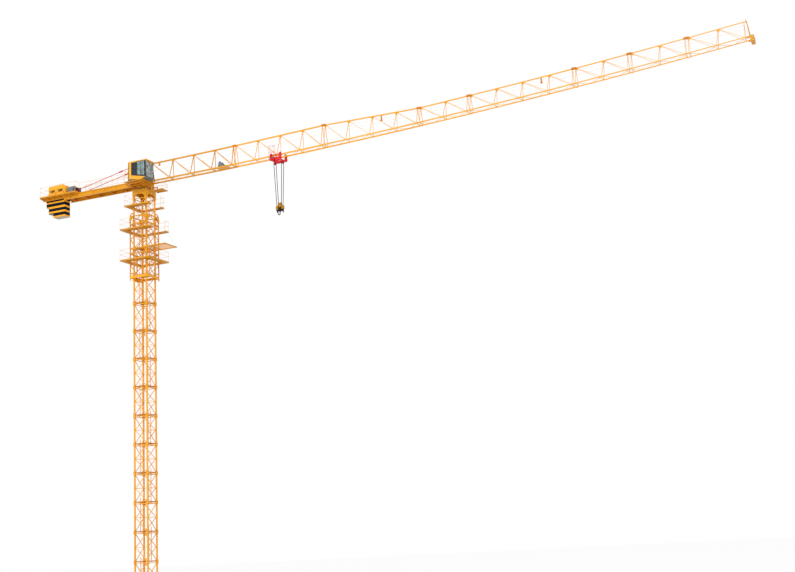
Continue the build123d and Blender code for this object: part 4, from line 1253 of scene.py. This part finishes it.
class CRANE_OT_winches(Operator):
    """Winds rope on both winches, sets fins on the hoist motor and leads its rope to the jib"""

    bl_idname = "crane.winches"
    bl_label = "Rope the winches"

    def execute(self, context):
        center = (node_x(3.47) - 0.0325, 0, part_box("trolley_winch")[1].z - 0.042)
        windings("trolley_winch_rope", center, "wire_rope", "dark_steel",
                 drum_radius=0.0226, ring_radius=0.0010, count=15, pitch=0.0021)
        low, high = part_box("hoist_winch")
        drum = Vector(((low.x + high.x) / 2, 0, high.z - 0.040))
        drum_radius = 0.0410
        windings("hoist_rope_turns", drum, "wire_rope", "dark_steel",
                 drum_radius=drum_radius, ring_radius=sizes().rope_radius, count=24, pitch=0.0033)
        windings("hoist_motor_fins", drum + Vector((0, 0.0615, 0)), "grey_paint", "grey_paint",
                 drum_radius=0.0246, ring_radius=0.0009, count=9, pitch=0.0034)
        lead = Shape("wire_rope", "dark_steel")
        run = deck_top + 0.010
        top = jib_level(lead_x, lead_share)
        lead.tube([(drum.x, 0, drum.z - drum_radius), (drum.x + 0.06, 0, run), (-0.10, 0, run),
                   (0.0, 0.003, run + 0.03), (lead_x, lead_y, top)], 0.0010, 8)
        lead.use("dark_steel")
        hub = top - 0.008
        sheave(lead, (lead_x, lead_y, hub), 0.0100, 0.0078)
        lead.post(lead_x, 0.001, hub, top_height(lead_x), 0.003, 0.006)
        lead.done("hoist_lead_rope", "upperworks", "dark_steel")
        return {"FINISHED"}


class CRANE_OT_counter_jib_rails(Operator):
    """Builds handrails and toe boards round the counter-jib's deck"""

    bl_idname = "crane.counter_jib_rails"
    bl_label = "Rail the counter-jib"

    def execute(self, context):
        low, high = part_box("counter_jib_deck")
        wide = high.y - rail_inset
        narrow = 0.0475
        back = low.x + rail_inset
        step = -0.778
        front = -0.085
        spans = []
        for side in (-1, 1):
            path = [(back, side * wide, deck_top), (step, side * wide, deck_top),
                    (step, side * narrow, deck_top), (front, side * narrow, deck_top)]
            spans += zip(path, path[1:])
        spans.append(((back, -wide, deck_top), (back, wide, deck_top)))
        handrail("counter_jib_rails", "upperworks", spans)
        toe_boards("counter_jib_boards", "upperworks", spans)
        return {"FINISHED"}


class CRANE_OT_counter_jib_girders(Operator):
    """Builds the counter-jib's two girders with stiffeners, cross-beams and slab hangers"""

    bl_idname = "crane.counter_jib_girders"
    bl_label = "Build the counter-jib's girders"

    def execute(self, context):
        low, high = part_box("counter_jib_frame")
        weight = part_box("counterweights")[1]
        top = high.z
        across = high.y - 0.008
        deep_end = weight.x + 0.004
        hanger_end = high.x - 0.825
        flange = 0.005
        shallow = 0.025
        count = 6
        stiffener_pitch = 0.145
        cross_pitch = 0.1626
        parts = ((deep_end, high.x, sizes().girder_depth), (low.x, deep_end, shallow))
        girders = Shape("girder_paint", "joint_paint")
        for side in (-1, 1):
            y = side * across
            for x0, x1, deep in parts:
                girders.beam_x(x0, x1, y, top - deep / 2, 0.004, deep - 0.008)
                for z in (top - flange / 2, top - deep + flange / 2):
                    girders.beam_x(x0, x1, y, z, 0.016, flange)
            for index in range(count):
                x = high.x - 0.080 - stiffener_pitch * index
                for out in (-0.0045, 0.0045):
                    girders.post(x, y + out, top - 0.043, top - 0.003, 0.003, 0.005)
        girders.use("joint_paint")
        for index in range(count):
            x = high.x - 0.006 - cross_pitch * index
            girders.beam_y(x, -across, across, top - 0.034, 0.006, 0.018)
        level = (weight.z + top) / 2
        for x in (low.x + 0.005, (low.x + hanger_end) / 2, hanger_end - 0.003):
            girders.beam_y(x, -across, across, level, 0.006, top - weight.z - 0.002)
        for side in (-1, 1):
            girders.beam_x(low.x, hanger_end, side * weight.y / 2, weight.z + 0.006, 0.006, 0.012)
        piece = girders.done("counter_jib_girders", "upperworks", "crane_paint")
        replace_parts(piece, "counter_jib_frame")
        return {"FINISHED"}


class CRANE_OT_winch_house(Operator):
    """Builds the winch house's doors with their hinges, handles and louvres"""

    bl_idname = "crane.winch_house"
    bl_label = "Hang the winch house doors"

    def execute(self, context):
        low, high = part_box("winch_house")
        door_width = 0.094
        door_pitch = 0.102
        louvre_pitch = 0.0046
        hinge_pin = [(0.0016, -0.005), (0.0016, 0.005)]
        doors = Shape("crane_paint", "black_steel", "dark_steel")
        for side, wall in ((-1, low.y), (1, high.y)):
            skin = wall + side * 0.002
            proud = wall + side * 0.0045
            for index in range(2):
                x0 = low.x + 0.012 + index * door_pitch
                x1 = x0 + door_width
                doors.use("crane_paint").box((x0, wall, low.z + 0.008), (x1, skin, low.z + 0.094))
                doors.use("dark_steel")
                doors.box((x1 - 0.012, wall, low.z + 0.036), (x1 - 0.008, proud, low.z + 0.052))
                for rise in (0.020, 0.080):
                    doors.turned((x0, proud, low.z + rise), (0, 0, 1), hinge_pin, 8)
                doors.use("black_steel")
                for louvre in range(7):
                    z = low.z + 0.058 + louvre * louvre_pitch
                    doors.beam_x(x0 + 0.015, x1 - 0.024, skin, z, 0.003, 0.0026)
        doors.done("winch_house_doors", "upperworks", "crane_paint")
        return {"FINISHED"}


class CRANE_OT_stays(Operator):
    """Builds the two red stays with their links, pins and feet"""

    bl_idname = "crane.stays"
    bl_label = "Build the stays"

    def execute(self, context):
        low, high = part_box("counter_jib_stays")
        foot_x = low.x + 0.006
        foot_z = deck_top + 0.031
        cheek = 0.0035
        pin_half = Vector((0, 0.0062, 0))
        pin_profile = [(0.0030, 0), (0.0030, 2 * pin_half.y)]
        stays = Shape("red_paint", "dark_steel")
        for y in (-0.050, 0.050):
            start = Vector((high.x - 0.007, y, high.z - 0.006))
            end = Vector((foot_x, y, foot_z))
            way = (end - start).normalized()
            stays.use("red_paint").tube([start, end], 0.0032, 10)
            for out in (Vector((0, -cheek, 0)), Vector((0, cheek, 0))):
                stays.bar(start + way * 0.160 + out, start + way * 0.206 + out, 0.002, 0.012)
                stays.bar(start - way * 0.006 + out, start + way * 0.020 + out, 0.002, 0.011)
            stays.post(foot_x, y, deck_top, foot_z + 0.004, 0.012, 0.008)
            stays.use("dark_steel")
            for pin in (start, start + way * 0.166, start + way * 0.200, end):
                stays.turned(pin - pin_half, (0, 1, 0), pin_profile, 12)
        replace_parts(stays.done("stay_bars", "upperworks", "red_paint"), "counter_jib_stays")
        return {"FINISHED"}


class CRANE_OT_slabs(Operator):
    """Sets lifting eyes on the counterweight slabs"""

    bl_idname = "crane.slabs"
    bl_label = "Set the slabs' lifting eyes"

    def execute(self, context):
        low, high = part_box("counterweights")
        count = 8
        pitch = (high.x - low.x) / count
        loop = ((-0.006, -0.001), (-0.005, 0.006), (0.005, 0.006), (0.006, -0.001))
        eyes = Shape("dark_steel")
        for index in range(count):
            x = low.x + (index + 0.5) * pitch
            for y in (-0.026, 0.026):
                eyes.tube([(x + run, y, high.z + rise) for run, rise in loop], 0.0012, 6)
        eyes.done("slab_lifting_eyes", "upperworks", "dark_steel")
        return {"FINISHED"}


class CRANE_OT_cab(Operator):
    """Builds the cab's visor, wiper, window seals and seat with its consoles"""

    bl_idname = "crane.cab"
    bl_label = "Fit out the cab"

    def execute(self, context):
        low, high = cab_low, cab_high
        middle = (low.y + high.y) / 2
        trim = Shape("black_steel", "crane_paint")
        trim.use("crane_paint")
        trim.beam_y(high.x + 0.0015, low.y + 0.002, high.y - 0.002, high.z - 0.004, 0.008, 0.007)
        trim.use("black_steel")
        screen = high.x + 0.001
        # Y and Z of both ends and the width, for the wiper's arm and then its blade
        wiper = ((0.010, 0.060, 0.032, 0.118, 0.0016), (0.027, 0.100, 0.037, 0.136, 0.003))
        for y0, z0, y1, z1, width in wiper:
            trim.bar((screen, middle + y0, low.z + z0), (screen, middle + y1, low.z + z1), width)
        rear = low.x + 0.106
        front = low.x + 0.197
        head = high.z - 0.012
        proud = 0.0006
        for out in (low.y - proud, high.y + proud):
            loop = [(rear, out, low.z + 0.050), (front, out, low.z + 0.033), (front, out, head),
                    (rear, out, head)]
            for start, end in zip(loop, loop[1:] + loop[:1]):
                trim.bar(start, end, 0.0026)
            trim.post((rear + front) / 2, out, low.z + 0.042, head, 0.0022)
        trim.done("cab_trim", "upperworks", "dark_steel")
        seat = Shape("black_steel", "grey_paint")
        x = low.x + 0.085
        floor = low.z + 0.004
        half = 0.021
        console_out = 0.033
        console_half = 0.008
        console_top = floor + 0.052
        pedestal = [(0.013, 0), (0.013, 0.003), (0.006, 0.005), (0.006, 0.036)]
        back = ((-0.020, 0.044), (-0.014, 0.044), (-0.024, 0.104), (-0.030, 0.104))
        seat.turned((x, middle, floor), (0, 0, 1), pedestal, 12)
        seat.box((x - 0.020, middle - half, floor + 0.036), (x + 0.024, middle + half, floor + 0.044))
        seat.plate([(x + run, middle - half, floor + rise) for run, rise in back], (0, 2 * half, 0))
        seat.use("grey_paint")
        for y in (middle - console_out, middle + console_out):
            seat.box((x - 0.004, y - console_half, floor), (x + 0.036, y + console_half, console_top))
            stick = [(x + 0.024, y, console_top), (x + 0.026, y, console_top + 0.018)]
            seat.tube(stick, [0.0018, 0.0032], 8)
        seat.done("cab_seat", "upperworks", "dark_steel", 0.0012)
        return {"FINISHED"}


class CRANE_OT_cab_deck(Operator):
    """Builds the beams under the cab's deck and its handrail"""

    bl_idname = "crane.cab_deck"
    bl_label = "Fit out the cab's deck"

    def execute(self, context):
        low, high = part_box("cab_deck")
        under = low.z - 0.002
        # Beams under the cab's deck in the darker joint paint, painted shade.
        beams = Shape("joint_paint")
        for share in (0.08, 0.5, 0.92):
            x = low.x + share * (high.x - low.x)
            beams.beam_y(x, low.y + 0.004, cab_low.y + 0.150, under, 0.007, 0.006)
        for share in (0.06, 0.5):
            y = low.y + share * (high.y - low.y)
            beams.beam_x(low.x + 0.004, high.x - 0.004, y, under + 0.001, 0.007, 0.005)
        beams.done("cab_deck_beams", "upperworks", "crane_paint")
        x0, y0 = low.x + 0.003, low.y + 0.003
        spans = [((x0, y0, high.z), (cab_low.x - 0.004, y0, high.z)),
                 ((x0, y0, high.z), (x0, cab_low.y + 0.138, high.z))]
        handrail("cab_deck_rails", "upperworks", spans)
        return {"FINISHED"}


class CRANE_OT_jib_root(Operator):
    """Builds the access platform's rails and mesh under the jib's root, and the root's top links"""

    bl_idname = "crane.jib_root"
    bl_label = "Fit out the jib's root"

    def execute(self, context):
        low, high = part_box("access_platform")
        top = low.z + 0.008
        back = low.x + 0.053
        front = high.x - 0.002
        edge = high.y - 0.006
        low_rail = 0.062
        path = [(back, -edge, top), (front, -edge, top), (front, edge, top), (back, edge, top)]
        handrail("access_platform_rails", "upperworks", list(zip(path, path[1:])), low_rail)
        mesh = Shape("deck_grating")
        inside = edge - 0.001
        mesh.box((low.x + 0.098, -inside, top - 0.0035), (front - 0.004, inside, top - 0.0010))
        mesh.done("access_platform_mesh", "upperworks", "crane_paint")
        level = top_height(0.080)
        link_pin = [(0.0034, 0), (0.0034, 0.0028)]
        links = Shape("joint_paint", "dark_steel")
        for side in (-1, 1):
            links.use("joint_paint").beam_x(0.050, 0.096, side * 0.0127, level, 0.003, 0.014)
            links.use("dark_steel")
            for x in (0.058, 0.088):
                links.turned((x, side * 0.0138, level), (0, side, 0), link_pin, 12)
        links.done("jib_root_links", "upperworks", "crane_paint")
        return {"FINISHED"}


class CRANE_OT_hoist_ropes(Operator):
    """Builds the sheaves of the trolley and the block, and the rope falls between them"""

    bl_idname = "crane.hoist_ropes"
    bl_label = "Reeve the hoist rope"

    def execute(self, context):
        radius = sizes().rope_radius
        low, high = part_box("block_sheaves")
        block_z = (low.z + high.z) / 2
        block = Vector((plumb.x, 0, block_z))
        upper_reach, upper_rope = 0.043, 0.0123
        lower_reach, lower_rope = 0.024, 0.0093
        steps = 12
        turns = [pi * step / steps for step in range(steps + 1)]
        upper = Shape("dark_steel")
        lower = Shape("dark_steel")
        falls = Shape("wire_rope")
        over = Shape("wire_rope")
        under = Shape("wire_rope")
        for side in (-1, 1):
            top = plumb + Vector((side * upper_reach, 0, 0))
            foot = block + Vector((side * lower_reach, 0, 0))
            sheave(upper, top, 0.0140, 0.0107)
            sheave(lower, foot, 0.0105, 0.0077)
            for way in (-1, 1):
                start = top + Vector((way * upper_rope, 0, 0.003))
                falls.tube([start, foot + Vector((way * lower_rope, 0, 0))], radius, 8)
            over.tube([top + Vector((cos(a), 0, sin(a))) * upper_rope for a in turns], radius, 8)
            under.tube([foot + Vector((cos(a), 0, -sin(a))) * lower_rope for a in turns], radius, 8)
        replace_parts(upper.done("trolley_sheave_wheels", "trolley", "dark_steel"), "trolley_sheaves")
        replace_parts(lower.done("block_sheave_wheels", "hook_block", "dark_steel"), "block_sheaves")
        over.done("rope_over_trolley", "trolley", "dark_steel")
        under.done("rope_under_block", "hook_block", "dark_steel")
        ropes = falls.done("rope_fall_lines", None, "dark_steel")
        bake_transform(ropes)
        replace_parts(ropes, "hoist_ropes")
        return {"FINISHED"}


class CRANE_OT_trolley(Operator):
    """Builds the trolley's flanged wheels, its basket, side tubes and bolts"""

    bl_idname = "crane.trolley"
    bl_label = "Fit out the trolley"

    def execute(self, context):
        low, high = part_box("trolley_wheels")
        rim, flange = 0.009, 0.0103
        profile = [(0.0030, -0.0030), (0.0088, -0.0030), (rim, -0.0027), (rim, 0.0021), (flange, 0.0023),
                   (flange, 0.0029), (0.0064, 0.0030), (0.0050, 0.0022), (0.0036, 0.0022), (0.0036, 0.0032),
                   (0.0020, 0.0032)]
        wheels = Shape("dark_steel")
        for x, z in ((low.x + rim, low.z + rim), (high.x - rim, high.z - rim)):
            for side in (-1, 1):
                wheels.turned((x, side * (high.y - 0.003), z), (0, side, 0), profile, 28)
        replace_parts(wheels.done("trolley_flanged_wheels", "trolley", "dark_steel"), "trolley_wheels")
        low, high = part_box("trolley_frame")
        floor = low.z + 0.044
        tall = 0.118
        x0, x1 = low.x + 0.008, low.x + 0.062
        y0, y1 = low.y + 0.002, low.y + 0.034
        around = [(x0, y0), (x1, y0), (x1, y1), (x0, y1)]
        basket = Shape("basket_paint", "red_paint", "dark_steel")
        for x, y in around:
            basket.tube([(x, y, floor), (x, y, floor + tall)], 0.0012, 8)
        for level in (floor + 0.060, floor + tall):
            for start, end in zip(around, around[1:] + around[:1]):
                basket.tube([(*start, level), (*end, level)], 0.0011, 8)
        basket.box((x0, y0, floor), (x1, y1, floor + 0.002))
        basket.use("red_paint")
        tube_y = 0.0625
        tube_rise = 0.003
        collar = [(0.0050, -0.004), (0.0062, -0.002), (0.0062, 0.002), (0.0050, 0.004)]
        for y in (-tube_y, tube_y):
            ends = [(low.x + 0.008, y, camber(low.x) + tube_rise),
                    (high.x - 0.004, y, camber(high.x) + tube_rise)]
            basket.tube(ends, 0.0036, 10)
            for end in ends:
                basket.turned(end, (1, 0, 0), collar, 14)
        basket.use("dark_steel")
        bolt = [(0.0042, -0.001), (0.0042, 0.0022), (0.0026, 0.0022), (0.0026, 0.0040)]
        bolt_y = 0.0592
        bolt_inset = 0.016
        level = (low.z + high.z) / 2 - 0.010
        for side in (-1, 1):
            for x in (low.x + bolt_inset, high.x - bolt_inset):
                basket.turned((x, side * bolt_y, level), (0, side, 0), bolt, 10)
        basket.done("trolley_basket", "trolley", "red_paint")
        return {"FINISHED"}


class CRANE_OT_hook(Operator):
    """Builds the forged hook with its latch, and the block's crosshead"""

    bl_idname = "crane.hook"
    bl_label = "Forge the hook"

    def execute(self, context):
        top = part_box("hook")[1].z
        start = top - 0.022
        bowl = 0.011
        shank = 0.0040
        steps = 26
        taper_from = 0.55
        sweep, fullest = radians(215), radians(110)
        path = [(plumb.x, 0, top - 0.006), (plumb.x, 0, start + 0.006)]
        radii = [shank, 0.0038]
        for step in range(steps + 1):
            turn = sweep * step / steps
            path.append((plumb.x - bowl * (1 - cos(turn)), 0, start - bowl * sin(turn)))
            swell = 0.0009 * sin(min(turn / fullest, 1.0) * pi / 2)
            taper = 0.0033 * max(0, turn / sweep - taper_from) / (1 - taper_from)
            radii.append(shank + swell - taper)
        nut = [(0.0062, 0), (0.0080, 0.0008), (0.0080, 0.0046), (0.0066, 0.0060), (0.0040, 0.0062),
               (0.0040, 0.0075)]
        forged = Shape("black_steel", "dark_steel")
        forged.tube(path, radii, 14)
        forged.turned((plumb.x, 0, top), (0, 0, -1), nut, 24)
        forged.use("dark_steel")
        latch = start + 0.0050
        point = Vector(path[-1]) + Vector((0.0010, 0, 0.0016))
        forged.bar((plumb.x - 0.0030, 0, latch), point, 0.0044, 0.0012)
        forged.turned((plumb.x - 0.0036, -0.0040, latch), (0, 1, 0), [(0.0016, 0), (0.0016, 0.0080)], 10)
        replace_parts(forged.done("forged_hook", "hook", "dark_steel"), "hook")
        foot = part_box("hook_block")[0].z
        lug = ((-0.006, 0.004), (0.008, 0.004), (0.010, -0.014), (0.002, -0.018))
        cross = Shape("black_steel")
        for side in (-1, 1):
            near = (plumb.x + side * 0.012, 0, foot + 0.006)
            far = (plumb.x + side * 0.037, 0, foot + 0.004)
            cross.bar(near, far, 0.012, 0.010)
            x = plumb.x + side * 0.030
            cross.plate([(x + run, -0.004, foot + rise) for run, rise in lug], (0, 0.008, 0))
        swivel = [(0.0095, 0), (0.0095, 0.010), (0.0075, 0.013)]
        cross.turned((plumb.x, 0, foot + 0.002), (0, 0, 1), swivel, 20)
        cross.done("block_crosshead", "hook_block", "dark_steel", 0.0008)
        return {"FINISHED"}


def aim():
    """Camera that matches the photograph's view."""
    data = bpy.data.cameras.new("Crane camera")
    data.sensor_width = 36
    data.lens = camera_lens
    data.clip_end = 200
    flat = cos(camera_tilt)
    ahead = Vector((sin(camera_azimuth) * flat, cos(camera_azimuth) * flat, sin(camera_tilt)))
    right = Vector((cos(camera_azimuth), -sin(camera_azimuth), 0))
    up = right.cross(ahead)
    level = right * cos(camera_roll) + up * sin(camera_roll)
    rise = up * cos(camera_roll) - right * sin(camera_roll)
    camera = bpy.data.objects.new("Crane camera", data)
    camera.matrix_world = Matrix((level, rise, -ahead)).transposed().to_4x4()
    camera.location = camera_place
    bpy.context.scene.collection.objects.link(camera)
    bpy.context.scene.camera = camera
    return camera


def white_to_viewer(graph):
    """One for camera, glossy and transmission rays, and nought for the rest."""
    path = graph.node("ShaderNodeLightPath").outputs
    seen = graph.math("MAXIMUM", path["Is Camera Ray"], path["Is Glossy Ray"])
    return graph.math("MAXIMUM", seen, path["Is Transmission Ray"])


def floor_finish():
    """Floor that is almost white to the viewer and still takes a faint shadow."""
    material, graph, shader = blank_finish("floor")
    shader.inputs["Base Color"].default_value = (0.86, 0.86, 0.86, 1)
    shader.inputs["Roughness"].default_value = 0.9
    glow = graph.node("ShaderNodeEmission", {"Color": (1, 1, 1, 1), "Strength": 1.0})
    share = graph.math("MULTIPLY_ADD", white_to_viewer(graph), 0.44, 0.50)
    mixed = graph.node("ShaderNodeMixShader", {0: share, 1: shader.outputs[0], 2: glow.outputs[0]})
    out = next(node for node in material.node_tree.nodes if node.type == "OUTPUT_MATERIAL")
    graph.put(out.inputs[0], mixed.outputs[0])
    return material


class CRANE_OT_stage(Operator):
    """Sets the floor, the lights, white surroundings and the camera"""

    bl_idname = "crane.stage"
    bl_label = "Set the stage"

    def execute(self, context):
        scene = context.scene
        half = 60.0
        data = bpy.data.meshes.new("floor")
        data.from_pydata([(x, y, 0) for x, y in corners(half, half)], [], [(0, 1, 2, 3)])
        data.materials.append(floor_finish())
        floor = bpy.data.objects.new("floor", data)
        scene.collection.objects.link(floor)
        for name, place, target, size, watts in (
            ("key light", (6.0, -15.0, 12.0), (1.5, 0, 3.6), 9.4, 1480),
            ("fill light", (-6.0, -7.0, 4.0), (0.5, 0, 3.8), 8.0, 110),
        ):
            lamp = bpy.data.lights.new(name, "AREA")
            lamp.shape = "DISK"
            lamp.size = size
            lamp.energy = watts
            holder = bpy.data.objects.new(name, lamp)
            way = Vector(target) - Vector(place)
            holder.matrix_world = way.to_track_quat("-Z", "Y").to_matrix().to_4x4()
            holder.location = place
            scene.collection.objects.link(holder)
        world = bpy.data.worlds.new("surroundings")
        world.use_nodes = True
        scene.world = world
        graph = Graph(world.node_tree)
        background = next(node for node in world.node_tree.nodes if node.type == "BACKGROUND")
        seen = white_to_viewer(graph)
        graph.put(background.inputs["Strength"], graph.math("MULTIPLY_ADD", seen, 0.37, 0.63))
        background.inputs["Color"].default_value = (1, 1, 1, 1)
        scene.view_settings.view_transform = "Standard"
        aim()
        return {"FINISHED"}


class CRANE_PT_panel(Panel):
    """Crane colours, sizes and build buttons"""

    bl_idname = "CRANE_PT_panel"
    bl_label = "Tower crane"
    bl_space_type = "VIEW_3D"
    bl_region_type = "UI"
    bl_category = "Crane"

    def draw(self, context):
        layout = self.layout
        for group in (context.scene.crane_colours, context.scene.crane_sizes):
            column = layout.column(align=True)
            for name in group.__annotations__:
                column.prop(group, name)
        for operator in operators:
            layout.operator(operator.bl_idname)


operators = (
    CRANE_OT_frame, CRANE_OT_mast_lattice, CRANE_OT_mast_access, CRANE_OT_mast_bolts,
    CRANE_OT_platforms, CRANE_OT_slewing_support, CRANE_OT_guide_platform, CRANE_OT_cage,
    CRANE_OT_jib_lattice, CRANE_OT_jib_ropes, CRANE_OT_jib_joints, CRANE_OT_winches,
    CRANE_OT_counter_jib_rails, CRANE_OT_counter_jib_girders, CRANE_OT_winch_house, CRANE_OT_stays,
    CRANE_OT_slabs, CRANE_OT_cab, CRANE_OT_cab_deck, CRANE_OT_jib_root, CRANE_OT_hoist_ropes,
    CRANE_OT_trolley, CRANE_OT_hook, CRANE_OT_stage,
)
classes = (CraneColours, CraneSizes, *operators, CRANE_PT_panel)


def register():
    for item in classes:
        bpy.utils.register_class(item)
    bpy.types.Scene.crane_colours = PointerProperty(type=CraneColours)
    bpy.types.Scene.crane_sizes = PointerProperty(type=CraneSizes)


def unregister():
    del bpy.types.Scene.crane_sizes
    del bpy.types.Scene.crane_colours
    for item in reversed(classes):
        bpy.utils.unregister_class(item)


def main():
    register()
    for operator in operators:
        family, action = operator.bl_idname.split(".")
        getattr(getattr(bpy.ops, family), action)()


if __name__ == "__main__":
    main()
